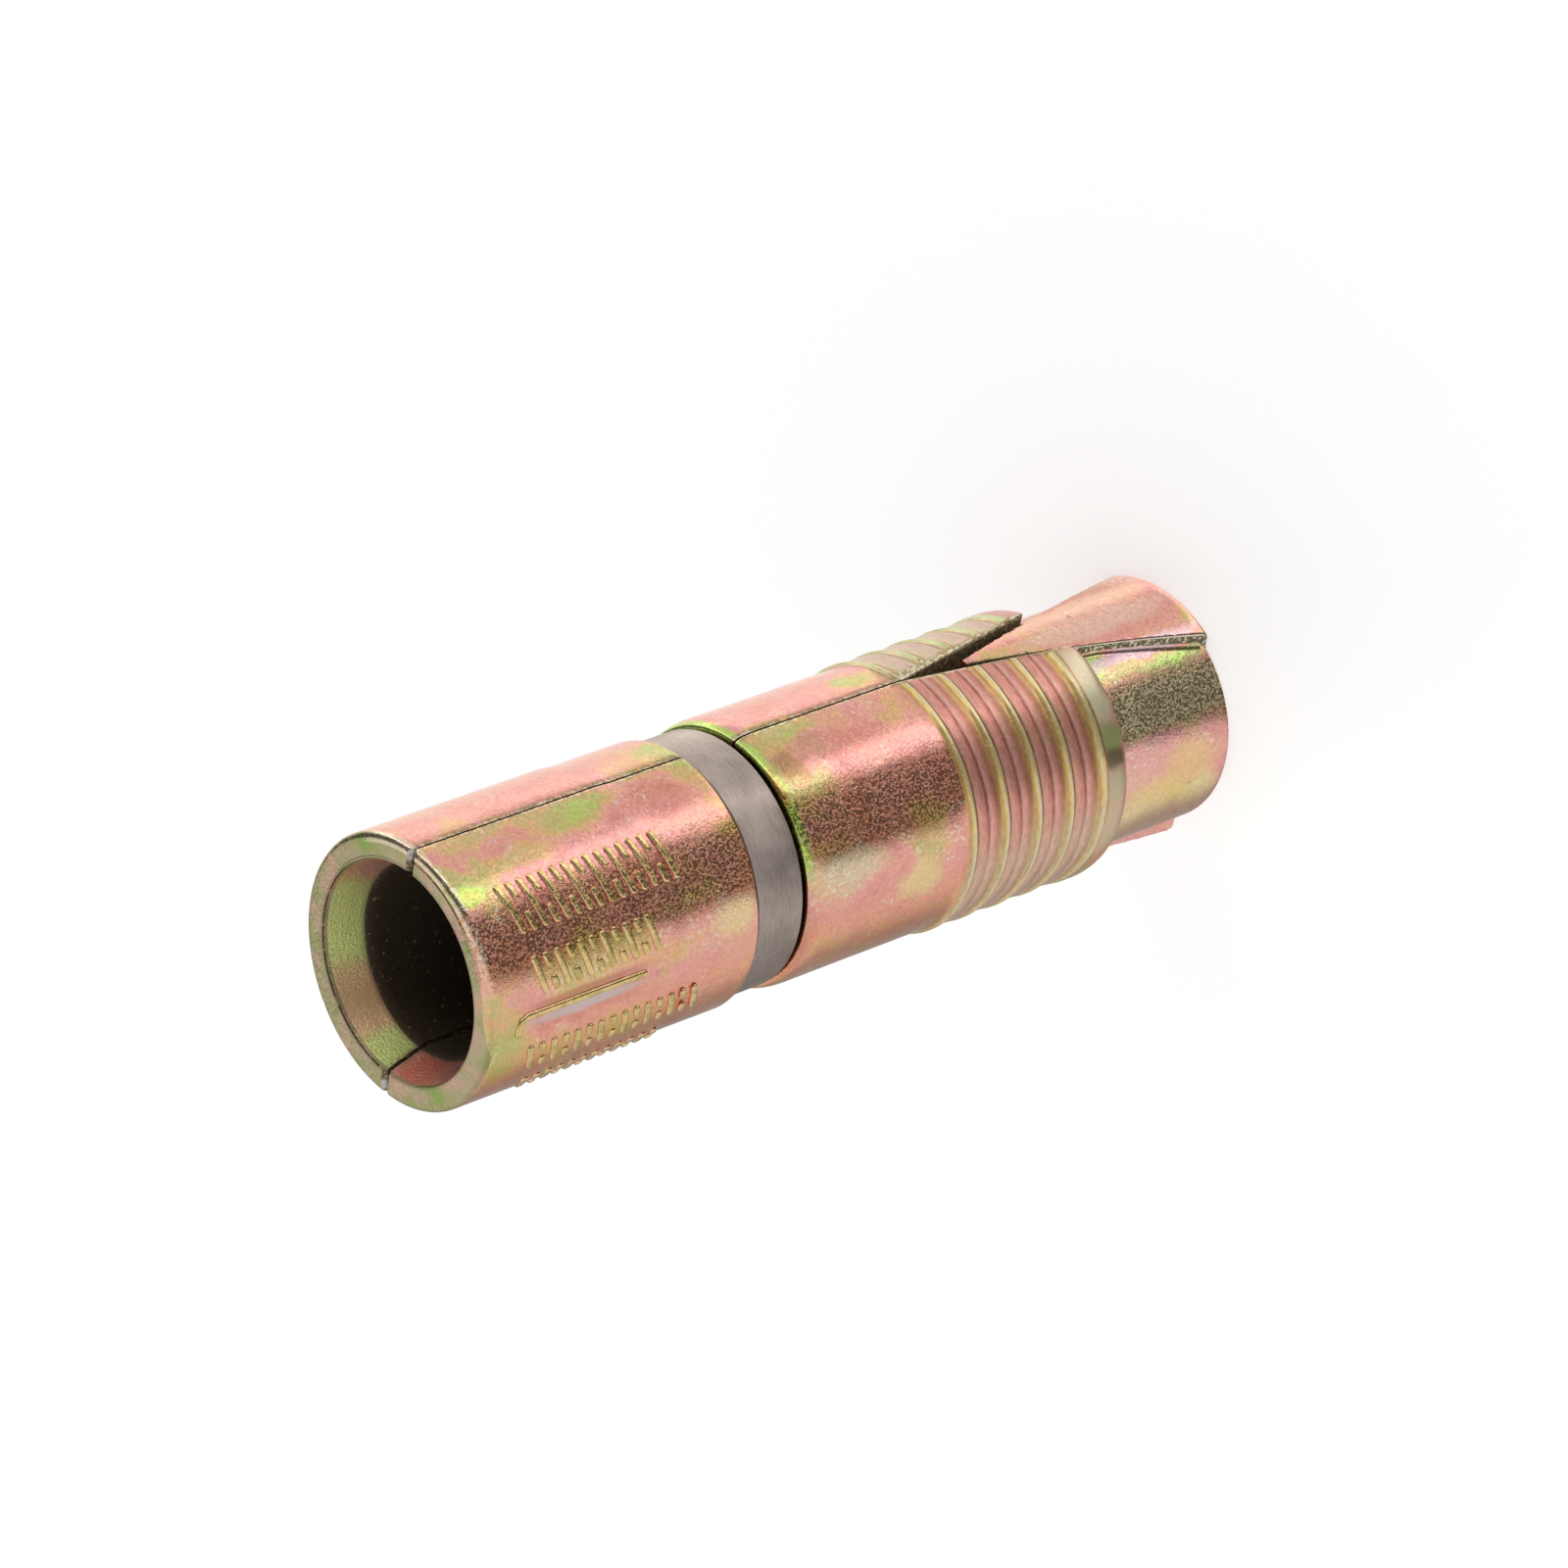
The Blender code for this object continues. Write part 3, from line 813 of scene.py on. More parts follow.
GRAINY_TURNS = (
    (-180, 0.5), (-110, 0.7), (-60, 0.5), (-14, 0.22), (2, 0.32), (24, 0.22), (32, 0.26),
    (38, 0.75), (45, 0.85), (59, 0.85), (64, 0.5), (70, 0.22), (84, 0.2), (130, 0.3),
    (180, 0.5))
BAND_TONES = ((0.4, (0.4, 0.33, 0.29)), (0.6, (0.65, 0.55, 0.5)))
BRUSHED_DEPTH = 0.012 * MM

# Where one surface gives way to the next, as radii or stations in mm
BORE_END = (5.45, 5.65)
LEAD_IN_END = (6.42, 6.5)
NUT_BORE_END = (4.7, 5.0)
OUTER_SKIN = (7.0, 7.2)
WING_SKIN = (7.1, 7.3)
GROOVE_WALL = (7.1, 7.2)
GROOVE_MIDDLE = 20.6
GROOVE_END = (1.98, 2.05)
SHOULDER_RISE = (22.35, 22.5)
SHOULDER_FALL = (22.75, 23.1)
MARK_FOOT = (7.765, 7.79)
MARK_TOP = (7.82, 7.85)
MARKS_END = (16.0, 16.5)
RIBS_START = (33.8, 34.2)
FOOT_LAND_START = (44.6, 44.75)
RIB_LEAD = 0.35

# Turns where scuffs gather and where the shoulder is golden
SCUFFED_TURN = 72.0
SHOULDER_GOLD_TURN = 29.0

# Places where the film or its colour differs: station in mm, turn in degrees, reach along
# and round in mm. Spots go on with film value and strength, tints with a colour
SHELL_SPOTS = (
    (0.9, 28, 1.2, 0.9, 0.27, 1.0), (4.5, 20, 3.4, 0.9, 0.44, 0.8),
    (10.0, 10, 3.4, 1.3, 0.345, 0.95), (15.2, 16, 3.0, 1.4, 0.84, 0.7),
    (27.5, 51, 6.5, 1.8, 0.67, 0.9), (9.5, 49, 8.0, 1.8, 0.69, 0.85),
    (16.0, 31, 4.0, 1.0, 0.66, 0.8), (8.0, -24, 11.0, 1.9, 0.67, 0.8),
    (28.5, -22, 7.0, 1.7, 0.67, 0.8), (4.0, 4, 5.0, 0.6, 0.42, 0.8),
    (17.8, -11, 1.6, 1.3, 0.38, 0.9), (18.2, 9, 1.2, 1.4, 0.4, 0.8),
    (14.0, 78, 4.2, 1.1, 0.54, 0.6), (7.0, 69, 5.0, 1.4, 0.42, 0.8),
    (7.0, 88, 5.5, 0.8, 0.97, 0.5), (1.2, 96, 1.8, 2.6, 0.38, 0.9),
    (7.5, 106, 6.5, 1.3, 0.48, 0.7), (14.5, 98, 4.0, 2.2, 0.68, 0.8),
    (25.2, 5, 2.8, 1.0, 0.4, 0.95), (28.0, 19, 3.5, 1.0, 0.88, 0.7),
    (25.0, 74, 3.0, 1.7, 0.5, 0.7), (27.5, 94, 4.5, 2.2, 0.7, 0.8),
    (31.6, 70, 1.6, 2.2, 0.42, 0.7), (32.6, -12, 2.0, 1.0, 0.34, 0.8))
SHELL_TINTS = (
    (17.0, 73, 1.5, 1.1, (0.97, 0.74, 0.4)), (30.7, 89, 1.9, 1.3, (0.96, 0.74, 0.36)),
    (23.8, 23, 1.2, 1.2, (0.52, 0.29, 0.15)), (26.0, 17, 1.6, 0.8, (0.76, 0.4, 0.27)),
    (25.5, 72, 2.6, 1.2, (0.86, 0.7, 0.48)))
RIDGE_TINTS = (
    (6.6, 80.6, 4.6, 0.34, (0.6, 0.27, 0.17)), (6.6, 87.0, 4.4, 0.4, (0.66, 0.57, 0.54)))
NUT_SPOTS = (
    (50.5, 52, 7.5, 1.9, 0.415, 0.9), (52.8, 33, 3.2, 0.7, 0.31, 0.95),
    (49.2, 31, 2.0, 0.6, 0.33, 0.7), (47.6, 22, 1.0, 1.0, 0.16, 0.7),
    (52.0, -14, 2.2, 1.4, 0.44, 0.6), (47.5, -10, 2.0, 1.2, 0.6, 0.5))
NUT_TINTS = (
    (50.5, 51, 7.0, 1.8, (0.8, 0.67, 0.42)), (50.5, 24, 5.0, 0.5, (0.86, 0.62, 0.66)),
    (49.0, -22, 7.0, 1.8, (0.64, 0.25, 0.2)), (49.0, -9, 7.0, 0.9, (0.9, 0.55, 0.4)),
    (49.0, 162, 8.0, 3.0, (0.98, 0.5, 0.47)), (49.0, 5, 6.5, 0.9, (1.0, 0.64, 0.5)),
    (49.5, 74, 3.8, 1.1, (0.99, 0.52, 0.46)), (52.2, 84, 2.4, 1.6, (0.99, 0.66, 0.32)),
    (47.6, 90, 2.6, 1.7, (0.99, 0.6, 0.46)), (50.2, 100, 3.0, 1.4, (1.0, 0.74, 0.3)),
    (53.4, 106, 1.8, 1.8, (1.0, 0.84, 0.4)), (48.6, 112, 3.0, 1.8, (1.0, 0.8, 0.44)),
    (51.5, 124, 4.5, 1.8, (1.0, 0.64, 0.44)))
LEAD_IN_TINTS = (
    (1.3, -92, 3.0, 3.6, (0.78, 1.0, 0.34)), (1.3, -38, 3.0, 2.6, (0.8, 0.42, 0.3)),
    (1.3, -139, 3.0, 2.2, (1.0, 0.72, 0.38)), (1.3, -169, 3.0, 1.6, (0.76, 1.0, 0.34)),
    (1.3, 164, 3.0, 1.7, (0.96, 0.28, 0.22)))
# On the land below the ribs, the cream-white tints at 28 and 43 degrees are a painted highlight
# and the near-black one at 66 degrees is painted shade; the others are film colours
END_LAND_TINTS_AND_PAINTED_LIGHT = (
    (45.2, 28, 1.2, 2.0, (1.0, 0.9, 0.6)), (45.2, 43, 1.2, 1.4, (1.0, 0.94, 0.62)),
    (45.2, 57, 1.2, 0.9, (0.5, 0.62, 0.24)), (45.2, 66, 1.2, 0.8, (0.16, 0.15, 0.08)),
    (45.2, 78, 1.2, 1.2, (0.66, 0.6, 0.38)), (45.2, 98, 1.2, 2.2, (0.8, 0.66, 0.42)))


class Skin(Wiring):
    """A plated finish, with the places on the anchor's skin that it works from.

    Sizes given to its calls are in mm.
    """

    def __init__(self, name):
        self.material = bpy.data.materials.new(name)
        self.material.use_nodes = True
        super().__init__(self.material.node_tree)
        self.principled = self.material.node_tree.nodes["Principled BSDF"]
        self.principled.inputs["Metallic"].default_value = 1.0
        self.principled.inputs["Specular Tint"].default_value = (*EDGE_TINT, 1.0)
        self.place = self.node("ShaderNodeTexCoord").outputs["Object"]
        parts = self.node("ShaderNodeSeparateXYZ", {"Vector": self.place}).outputs
        self.x = parts["X"]
        self.station = self.over(self.minus(MOUTH, parts["Z"]), MM)
        self.turn = self.times(self.sums("ARCTAN2", parts["X"], parts["Y"]), math.degrees(1))
        level = self.vector("MULTIPLY", self.place, (1.0, 1.0, 0.0))
        self.radius = self.over(self.length(level), MM)
        self.cut = self.node("ShaderNodeAttribute", attribute_name=CUT_FACE).outputs["Fac"]

    def give(self, socket, value):
        self.feed(self.principled.inputs[socket], value)

    def noise(self, size, detail=2.0, **settings):
        return self.noise_at(self.place, size * MM, detail, **settings)

    def flecks(self, size, share):
        """A broken mask of small spots. The higher the share, the fewer there are."""
        return self.span(self.noise(size, 3.0, roughness=0.65), share, share + 0.1)

    def by_turn(self, stops):
        """A strength that changes round the anchor."""
        share = self.span(self.turn, -180.0, 180.0, smooth=False)
        return self.levels(share, [((turn + 180) / 360, level) for turn, level in stops])

    def unrolled(self, radius, wander):
        """Station and length round a radius, wandering a little both ways."""
        flat = self.flat(self.station, self.times(self.turn, math.radians(radius)))
        drift = self.noise(2.6, 5.0, roughness=0.62, output="Color")
        drift = self.vector("SUBTRACT", drift, (0.5, 0.5, 0.5))
        return self.vector("ADD", flat, self.scaled(drift, wander))

    def nearness(self, flat, radius, station, turn, long_reach, round_reach):
        """1 at a place on the unrolled skin and 0 past its reach."""
        centre = (station, math.radians(turn) * radius, 0.0)
        away = self.vector("MULTIPLY", self.vector("SUBTRACT", flat, centre),
                           (1.0 / long_reach, 1.0 / round_reach, 0.0))
        return self.falling(self.length(away), 0.45, 1.25)

    def film(self, spots, radius, seed):
        """Thickness of the film: drifting patches, the named places and a fine mottle."""
        shifted = self.vector("ADD", self.place, (seed, seed * 0.7, -seed))
        broad = self.noise_at(shifted, 5.0 * MM, detail=4.0, roughness=0.6, distortion=0.5)
        film = self.levels(broad, FILM_PATCHES)
        flat = self.unrolled(radius, 3.0)
        for *place, target, strength in spots:
            near = self.nearness(flat, radius, *place)
            film = self.blend(self.times(near, strength), film, target)
        middle = self.noise_at(shifted, 1.2 * MM, detail=5.0, roughness=0.68)
        fine = self.noise_at(shifted, 0.22 * MM, detail=2.0)
        mottle = self.plus(self.times(self.minus(middle, 0.5), 0.32),
                           self.times(self.minus(fine, 0.5), 0.18))
        return self.plus(film, mottle)

    def tinted(self, colour, tints, radius, wander):
        """Lay named tints over a colour, each round its own place."""
        flat = self.unrolled(radius, wander)
        for *place, tint in tints:
            near = self.nearness(flat, radius, *place)
            colour = self.mix(self.times(near, 0.85), colour, tint)
        return colour

    def pits(self, spacing, size):
        """Small round casting pits, far apart."""
        cells = self.node("ShaderNodeTexVoronoi", {
            "Vector": self.place, "Scale": 1.0 / (spacing * MM)})
        return self.falling(cells.outputs["Distance"], 0.5 * size / spacing, size / spacing)

    def hairlines(self, lean, length, width, rarity):
        """Long thin open scratches that lean one way and bend a little, mostly rubbed out."""
        drift = self.noise(3.4, 1.0, output="Color")
        flat = self.vector("ADD", self.unrolled(BARREL_RADIUS / MM, 0.12),
                           self.scaled(drift, 2.2))
        leaning = self.node("ShaderNodeVectorRotate", {"Vector": flat, "Angle": lean},
                            rotation_type="Z_AXIS").outputs[0]
        stretched = self.vector("MULTIPLY", leaning, (1.0 / length, 1.0 / width, 0.0))
        line = self.span(self.noise_at(stretched, 1.0, detail=0.0), 0.735, 0.765)
        patchy = self.noise(1.7, roughness=0.7)
        return self.times(line, self.span(patchy, rarity, rarity + 0.05))

    def grain(self, strength, gloss, rarity, duller, sandy=0.0):
        """Sparse worm-like flecks and soft waves of the cast skin, with scratches.

        The higher the rarity, the fewer scratches show. Duller holds the places that
        aren't glossy, each with its roughness.
        """
        strength = self.times(strength, self.by_turn(GRAINY_TURNS))
        worms = self.span(self.noise(0.16, 3.5, roughness=0.6, distortion=0.5), 0.46, 0.72)
        waves = self.noise(1.3, 1.0)
        scratch = self.most(self.hairlines(0.5, 2.2, 0.1, rarity),
                            self.hairlines(-0.9, 1.6, 0.08, rarity))
        height = self.plus(self.times(worms, strength), self.times(waves, 0.4))
        height = self.minus(height, self.times(scratch, 0.2))
        height = self.plus(height, self.times(self.noise(0.13, roughness=0.6), sandy))
        self.bump(height, 1.0, GRAIN_DEPTH)
        rough = self.span(self.noise(0.8), 0.3, 0.7, gloss - 0.03, gloss + 0.04)
        rough = self.plus(rough, self.times(scratch, 0.15))
        for share, value in duller:
            rough = self.blend(share, rough, value)
        self.give("Roughness", rough)
        return scratch

    def bump(self, height, strength, depth):
        made = self.node("ShaderNodeBump", {
            "Height": height, "Strength": strength, "Distance": depth})
        self.give("Normal", made.outputs["Normal"])

    def streaks(self, length, width, **settings):
        """Fine lines that run round the anchor."""
        lengthwise = self.flat(self.times(self.turn, length), self.station)
        return self.noise_at(lengthwise, width, roughness=0.6, **settings)


def weathered(skin, colour):
    """A fine unevenness of tone, and pale scuffs in patches."""
    fine = skin.noise(0.24, 4.0, roughness=0.7)
    colour = skin.scaled(colour, skin.span(fine, 0.3, 0.7, 0.8, 1.06, smooth=False))
    patchy = skin.noise(2.6, 3.0, roughness=0.65)
    from_scuffed = skin.apart(skin.turn, SCUFFED_TURN)
    patchy = skin.plus(patchy, skin.span(from_scuffed, 3.0, 14.0, 0.09, 0.0))
    scuffs = skin.times(skin.flecks(0.27, 0.53), skin.span(patchy, 0.55, 0.66))
    return skin.mix(skin.times(scuffs, 0.7), colour, WORN_EDGE)


def golden(skin, colour):
    """Turn the film more golden round the anchor: partly film colour, partly painted shade, most
    in the dark band and least in the highlight band.
    """
    patchy = skin.span(skin.noise(2.0, 3.0), 0.3, 0.7, -0.18, 0.18)
    warmth = skin.sums("ADD", skin.by_turn(GOLDEN_AND_SHADE_TURNS), patchy, clamp=True)
    warmth = skin.times(warmth, skin.span(skin.radius, *OUTER_SKIN))
    return skin.mix(warmth, colour, skin.mix(1.0, colour, GOLDEN_CAST, blend="MULTIPLY"))


def rib_place(skin):
    """Which part of a rib a place lies on, and whether it is on the ribs at all."""
    ribs_along = skin.over(skin.minus(skin.station, FIRST_RIB / MM - RIB_LEAD), RIB_PITCH / MM)
    inside = skin.times(skin.span(ribs_along, -0.04, 0.0, smooth=False),
                        skin.span(ribs_along, 4.2, 4.3, 1.0, 0.0, smooth=False))
    return skin.sums("FRACT", ribs_along), inside


def rib_colours(skin, colour, period, inside):
    """Cream crests and pink lands with painted highlights, thin dark creases as painted shade,
    and lime crests on the back shell as painted highlight.
    """
    # Each rib's stripes hold painted highlight and painted shade as well as film colour
    front = skin.ramp(period, RIB_COLOURS_AND_PAINTED_LIGHT)
    back = skin.ramp(period, BACK_RIB_COLOURS_AND_PAINTED_LIGHT)
    ribs = skin.mix(skin.falling(skin.turn, -6.0, 2.0), front, back)
    beige = skin.mix(0.55, ribs, BEIGE)
    ribs = skin.mix(skin.span(skin.turn, 74.0, 98.0, 0.0, 0.9), ribs, beige)
    ribs = skin.mix(skin.span(skin.flecks(0.5, 0.45), 0.0, 1.0, 0.02, 0.22), ribs, colour)
    streaks = skin.streaks(0.035, 0.16, detail=2.0)
    ribs = skin.scaled(ribs, skin.span(streaks, 0.34, 0.64, 0.84, 1.06))
    return skin.mix(inside, colour, ribs)


def edge_distance(skin):
    """How far a place lies from the nearest seam or slot edge, in mm."""
    slope = (SLOT_HALF_WIDTH - SEAM_OUTSIDE) / SLOT_LENGTH
    apex = (MOUTH - SHELL_FOOT - SLOT_LENGTH) / MM
    below = skin.most(skin.minus(skin.station, apex), 0.0)
    edge = skin.sums("MULTIPLY_ADD", below, slope, SEAM_OUTSIDE / MM)
    across = skin.over(skin.sums("ABSOLUTE", skin.x), MM)
    return skin.minus(across, edge)


def shoulder_film(skin, film):
    """Lime on the rounded shoulder below the band, and gold where it turns to the front."""
    shoulder = skin.times(skin.within(skin.station, SHOULDER_RISE, SHOULDER_FALL),
                          skin.falling(skin.turn, 66.0, 76.0))
    front = skin.span(skin.apart(skin.turn, SHOULDER_GOLD_TURN), 7.0, 13.0)
    drift = skin.span(skin.noise(0.6, 3.0), 0.3, 0.7, -0.05, 0.06)
    return skin.blend(shoulder, film, skin.plus(skin.blend(front, 0.15, 0.275), drift))


def rim_colours(skin, colour):
    """Khaki flat rim of the mouth, with a dark line along its inner edge at the back."""
    front = skin.within(skin.turn, (-12.0, 0.0), (80.0, 100.0))
    level = skin.sums("LESS_THAN", skin.station, skin.blend(front, 0.26, 0.04))
    outer = skin.blend(front, 7.8, 7.05)
    flat = skin.times(level, skin.sums("LESS_THAN", skin.radius, outer))
    tone = skin.noise(2.2, 3.5, roughness=0.6)
    colour = skin.mix(flat, colour, skin.ramp(tone, RIM_COLOURS))
    inner = skin.times(skin.falling(skin.radius, 6.35, 6.39),
                       skin.span(skin.turn, -40.0, -60.0),
                       skin.falling(skin.station, 0.06, 0.1), skin.flecks(0.7, 0.36))
    return skin.mix(inner, colour, RIM_LINE)


def worn_places(skin, period, ribs, scratch):
    """Where the film is rubbed: outer rim, crests of ribs, seam edges and scratches."""
    side = skin.times(skin.span(skin.turn, -34.0, -24.0),
                      skin.span(skin.turn, 40.0, 82.0, 0.8, 0.0))
    ragged = skin.sums("MULTIPLY_ADD", skin.noise(0.5, 3.0), -0.7, skin.station)
    bead = skin.times(skin.span(skin.radius, 7.18, 7.26), skin.falling(ragged, -0.06, 0.06),
                      side, skin.flecks(0.8, 0.36))
    crest = skin.levels(period, ((0.09, 0.0), (0.115, 1.0), (0.16, 1.0), (0.18, 0.0)))
    crest = skin.times(crest, ribs, skin.flecks(0.5, 0.42))
    near_edge = skin.times(skin.falling(edge_distance(skin), 0.05, 0.22),
                           skin.flecks(0.25, 0.49))
    return skin.most(bead, crest, near_edge, skin.times(scratch, 0.7))


def shell_surface(skin, period, ribs, outside, lead_in):
    """Bump, roughness and metal of the shells. Gives back where the scratches are."""
    on_ribs = skin.span(skin.station, *RIBS_START)
    land = skin.levels(period, ((0.25, 0.0), (0.32, 1.0), (0.9, 1.0), (0.98, 0.0)))
    land = skin.times(land, ribs)
    hazy = skin.most(skin.blend(land, skin.times(ribs, 0.8), ribs),
                     skin.span(skin.station, *FOOT_LAND_START))
    skin.give("Metallic", skin.minus(skin.span(hazy, 0.0, 1.0, 1.0, 0.52),
                                     skin.times(lead_in, 0.4)))
    strength = skin.times(skin.blend(on_ribs, 0.42, 0.2), outside)
    duller = ((hazy, 0.29), (lead_in, 0.3), (skin.span(skin.cut, 0.6, 0.9), 0.5),
              (skin.minus(1.0, outside), 0.62))
    return skin.grain(strength, 0.1, 0.57, duller, sandy=skin.times(lead_in, 0.55))


def mark_colours(skin, colour):
    """Golden raised marks with paler edges."""
    raised = skin.times(skin.span(skin.radius, *MARK_FOOT),
                        skin.falling(skin.station, *MARKS_END))
    gold = skin.mix(skin.flecks(0.7, 0.42), OLIVE_GOLD, GOLD)
    gold = skin.mix(skin.span(skin.radius, *MARK_TOP, 0.75, 0.0), gold, WORN_EDGE)
    return skin.mix(skin.times(raised, 0.85), colour, gold)


def rubbed(skin, colour, worn):
    """Brown along the seam, then rubbed places and patches of bare zinc."""
    grime = skin.times(skin.span(edge_distance(skin), 0.1, 0.42, 0.8, 0.0),
                       skin.flecks(0.4, 0.4))
    colour = skin.mix(grime, colour, GRIME)
    colour = skin.mix(skin.times(worn, 0.85), colour, WORN_EDGE)
    return skin.mix(skin.times(skin.flecks(2.2, 0.69), 0.6), colour, ZINC)


def cut_colours(skin, colour, outside):
    """Bore and cut faces painted dark as shade, bare where the seam meets the mouth, with mottled
    lips.
    """
    # Cut faces: dark brown painted as shade, with pale flecks
    dull = skin.mix(skin.flecks(0.22, 0.52), *CUT_SHADE_PAIR)
    bare_lip = skin.times(skin.span(skin.radius, 6.8, 7.1), skin.flecks(0.5, 0.36),
                          skin.falling(skin.station, 0.5, 1.0))
    dull = skin.mix(bare_lip, dull, ZINC)
    lip = skin.mix(skin.flecks(0.3, 0.46), *LIP_PAIR)
    colour = skin.mix(skin.span(skin.cut, 0.25, 0.45), colour, lip)
    colour = skin.mix(skin.span(skin.cut, 0.6, 0.9), colour, dull)
    # Inside the bore: near-black painted shade with pale flecks
    return skin.mix(outside, skin.mix(skin.flecks(0.3, 0.62), BORE_PAINTED_SHADE, BORE_SPECK), colour)


def shell_finish():
    """Iridescent film on a cast skin: worn edges, golden marks, and a bore and cut faces painted
    dark as shade.
    """
    skin = Skin("yellow_chromate_on_casting")
    period, ribs = rib_place(skin)
    outside = skin.span(skin.radius, *BORE_END)
    lead_in = skin.falling(skin.radius, *LEAD_IN_END)
    scratch = shell_surface(skin, period, ribs, outside, lead_in)
    film = shoulder_film(skin, skin.film(SHELL_SPOTS, BARREL_RADIUS / MM, 0.031))
    colour = golden(skin, skin.ramp(film, FILM))
    colour = weathered(skin, skin.tinted(colour, SHELL_TINTS, BARREL_RADIUS / MM, 2.6))
    colour = skin.tinted(colour, RIDGE_TINTS, COLLAR_RADIUS / MM, 0.35)
    colour = skin.mix(lead_in, colour, skin.tinted(colour, LEAD_IN_TINTS, 5.9, 1.5))
    # The groove under the band is painted dark olive as shade
    groove = skin.times(skin.falling(skin.radius, *GROOVE_WALL),
                        skin.falling(skin.apart(skin.station, GROOVE_MIDDLE), *GROOVE_END))
    colour = skin.mix(groove, colour, GROOVE_OLIVE_SHADE)
    colour = rib_colours(skin, colour, period, ribs)
    colour = mark_colours(skin, rim_colours(skin, colour))
    # Tints of the land below the ribs, with a painted highlight and painted shade among them
    foot = skin.tinted(colour, END_LAND_TINTS_AND_PAINTED_LIGHT, END_LAND_RADIUS / MM, 0.8)
    colour = skin.mix(skin.span(skin.station, *FOOT_LAND_START), colour, foot)
    colour = rubbed(skin, colour, worn_places(skin, period, ribs, scratch))
    skin.give("Base Color", cut_colours(skin, colour, outside))
    return skin.material


def nut_finish():
    """The same film on the nut, with olive streaks, pits, flanks painted dark as shade and a bore
    painted dark as shade.
    """
    skin = Skin("yellow_chromate_on_nut")
    film = skin.film(NUT_SPOTS, CONE_RADIUS / MM, 0.057)
    bore = skin.falling(skin.radius, *NUT_BORE_END)
    strength = skin.blend(skin.span(skin.radius, *WING_SKIN), 0.5, 0.3)
    scratch = skin.grain(strength, 0.11, 0.63, ((skin.cut, 0.35), (bore, 0.6)))
    colour = golden(skin, skin.ramp(film, FILM))
    colour = weathered(skin, skin.tinted(colour, NUT_TINTS, CONE_RADIUS / MM, 1.6))
    colour = skin.mix(skin.times(scratch, 0.5), colour, WORN_EDGE)
    colour = skin.mix(skin.times(skin.pits(1.9, 0.18), 0.5), colour, PIT_DARK)

    # Flanks of the wing on the +Y side, painted dark as shade, with a rubbed line along their
    # upper edge
    flank = skin.mix(skin.flecks(0.2, 0.5), *FLANK_SHADE_PAIR)
    taper = (WING_RADIUS - WING_TOP_RADIUS) / WING_HEIGHT
    wing_edge = skin.sums("MULTIPLY_ADD", skin.station, taper,
                          WING_RADIUS / MM - taper * MOUTH / MM)
    below_edge = skin.minus(wing_edge, skin.radius)
    flank = skin.mix(skin.falling(below_edge, 0.06, 0.14), flank, WORN_EDGE)
    colour = skin.mix(skin.cut, colour, flank)
    # The nut's threaded bore is painted near-black as shade
    skin.give("Base Color", skin.mix(bore, colour, BORE_PAINTED_SHADE))
    return skin.material


def band_finish():
    """Bare steel strip, brushed along its length, painted lighter and darker round it as
    highlight and shade.
    """
    skin = Skin("brushed_bare_steel")
    lines = skin.streaks(0.012, 0.09, detail=3.0)
    cloud = skin.noise(2.8, 3.0)
    tone = skin.plus(skin.times(lines, 0.4), skin.times(cloud, 0.5),
                     skin.times(skin.noise(0.12, 1.0), 0.1))
    colour = skin.ramp(tone, BAND_TONES)
    # The band's colour is made lighter and darker round the anchor: painted highlight and shade
    skin.give("Base Color", skin.mix(1.0, colour, skin.by_turn(BAND_PAINTED_LIGHT_TURNS), blend="MULTIPLY"))
    skin.bump(skin.plus(lines, skin.times(cloud, 1.5)), 0.6, BRUSHED_DEPTH)
    skin.give("Roughness", skin.span(cloud, 0.3, 0.7, 0.48, 0.58))
    return skin.material


# The studio's light by height in the view, from straight below at 0 to straight above at 1:
# pale table, dark room and softbox at the camera's side, and the paper behind the anchor
STUDIO_SIDES = (
    (0.0, 0.6), (0.16, 0.74), (0.28, 0.79), (0.36, 0.81), (0.395, 0.74), (0.43, 0.47),
    (0.46, 0.15), (0.5, 0.105), (0.7, 0.115), (0.775, 0.15), (0.8, 0.38), (0.828, 1.15),
    (0.855, 1.45), (0.9, 1.45), (0.925, 0.76), (1.0, 0.72))
STUDIO_BEHIND = ((0.0, 0.55), (0.3, 0.35), (0.42, 0.36), (0.55, 1.05), (1.0, 1.05))
WHITE = (1.0, 1.0, 1.0)
TABLE_HALF = 1.5
TABLE_GAP = 0.02 * MM


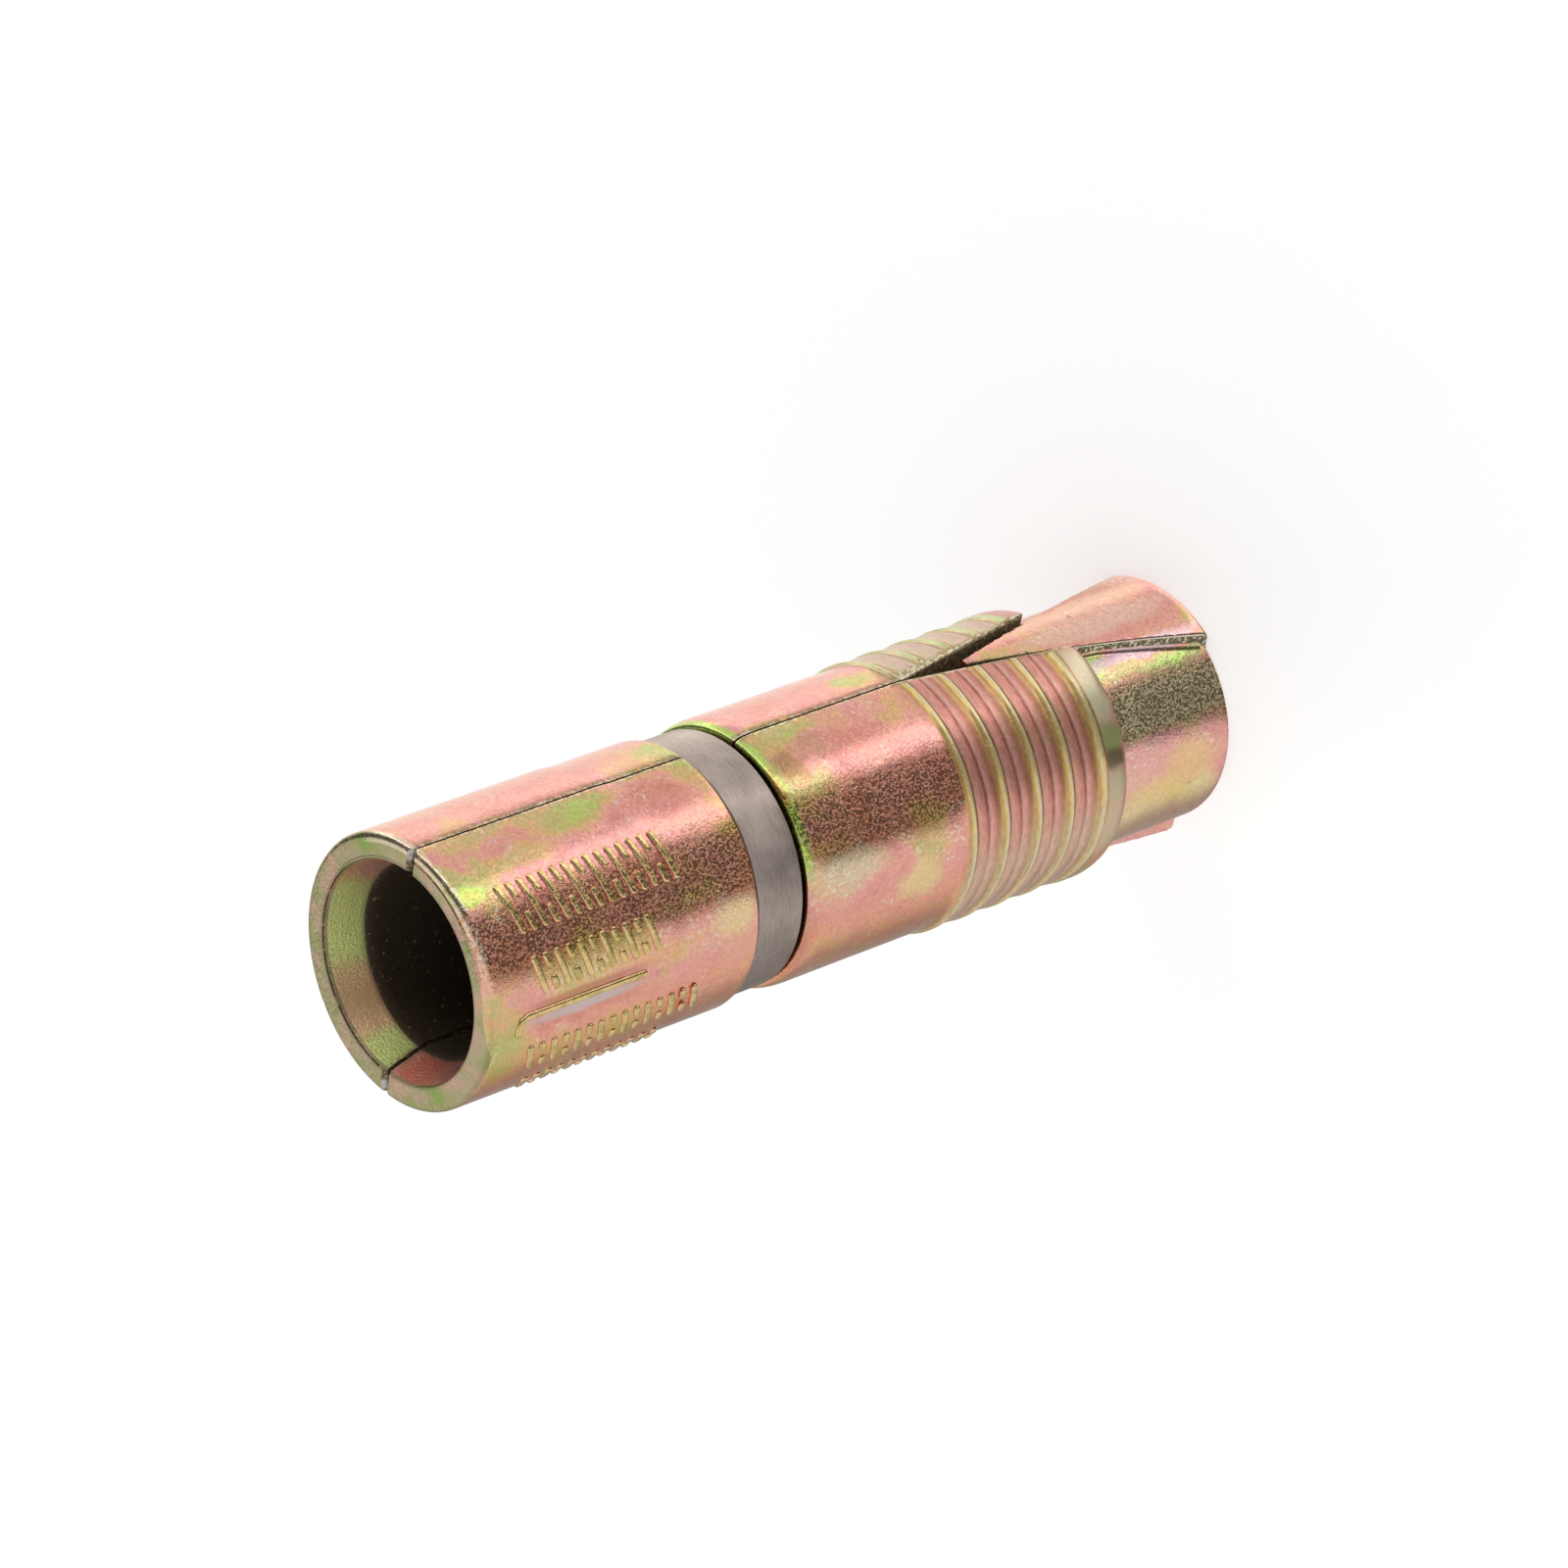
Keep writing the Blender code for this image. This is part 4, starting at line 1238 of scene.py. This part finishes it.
def studio_world():
    """A softbox above, a pale table below, a dark room between, and white all round the view."""
    world = bpy.data.worlds.new("photo_studio")
    world.use_nodes = True
    bpy.context.scene.world = world
    wire = Wiring(world.node_tree)
    direction = wire.node("ShaderNodeTexCoord").outputs["Generated"]
    up = wire.vector("DOT_PRODUCT", direction, tuple(CAMERA_UP), output="Value")
    front = wire.vector("DOT_PRODUCT", direction, tuple(camera_back()), output="Value")
    height = wire.sums("MULTIPLY_ADD", up, 0.5, 0.5)
    studio = wire.mix(wire.falling(front, -0.8, -0.5), wire.levels(height, STUDIO_SIDES),
                      wire.levels(height, STUDIO_BEHIND))
    sight = wire.node("ShaderNodeLightPath").outputs["Is Camera Ray"]
    background = world.node_tree.nodes["Background"]
    wire.feed(background.inputs["Color"], wire.mix(sight, studio, WHITE))


def camera_back():
    return CAMERA_RIGHT.cross(CAMERA_UP).normalized()


def camera():
    """The photograph's view of the anchor."""
    data = bpy.data.cameras.new("photo_camera")
    data.lens = CAMERA_LENS
    data.sensor_width = CAMERA_SENSOR
    data.clip_start = 0.01
    data.clip_end = 10.0
    obj = linked("photo_camera", data)
    back = camera_back()
    right = CAMERA_UP.cross(back).normalized()
    up = back.cross(right)
    turn = Matrix((right, up, back)).transposed().to_4x4()
    obj.matrix_world = Matrix.Translation(CAMERA_PLACE) @ turn
    bpy.context.scene.camera = obj


def floor():
    """A white table top. It takes the shadow, and the metal reflects the studio instead."""
    bm = bmesh.new()
    bmesh.ops.create_grid(bm, x_segments=1, y_segments=1, size=TABLE_HALF)
    bmesh.ops.translate(bm, verts=bm.verts, vec=(0.0, 0.0, -TABLE_GAP))
    obj = linked("floor", freed(bm, "floor"))
    mat = bpy.data.materials.new("white_table")
    mat.use_nodes = True
    wire = Wiring(mat.node_tree)
    principled = mat.node_tree.nodes["Principled BSDF"]
    principled.inputs["Base Color"].default_value = (0.9, 0.9, 0.9, 1.0)
    principled.inputs["Roughness"].default_value = 0.9
    principled.inputs["Specular IOR Level"].default_value = 0.0
    principled.inputs["Emission Color"].default_value = (*WHITE, 1.0)
    sight = wire.node("ShaderNodeLightPath").outputs["Is Camera Ray"]
    wire.feed(principled.inputs["Emission Strength"], wire.times(sight, 0.55))
    obj.data.materials.append(mat)
    obj.visible_glossy = False


def main():
    plating = shell_finish()
    half_shell("front_half_shell", 1, "front_shell", "shell_half_front", plating)
    half_shell("back_half_shell", -1, "back_shell", "shell_half_back", plating)
    steel_band(band_finish())
    winged_nut(nut_finish())
    studio_world()
    floor()
    camera()
    bpy.context.scene.view_settings.view_transform = "Standard"


main()
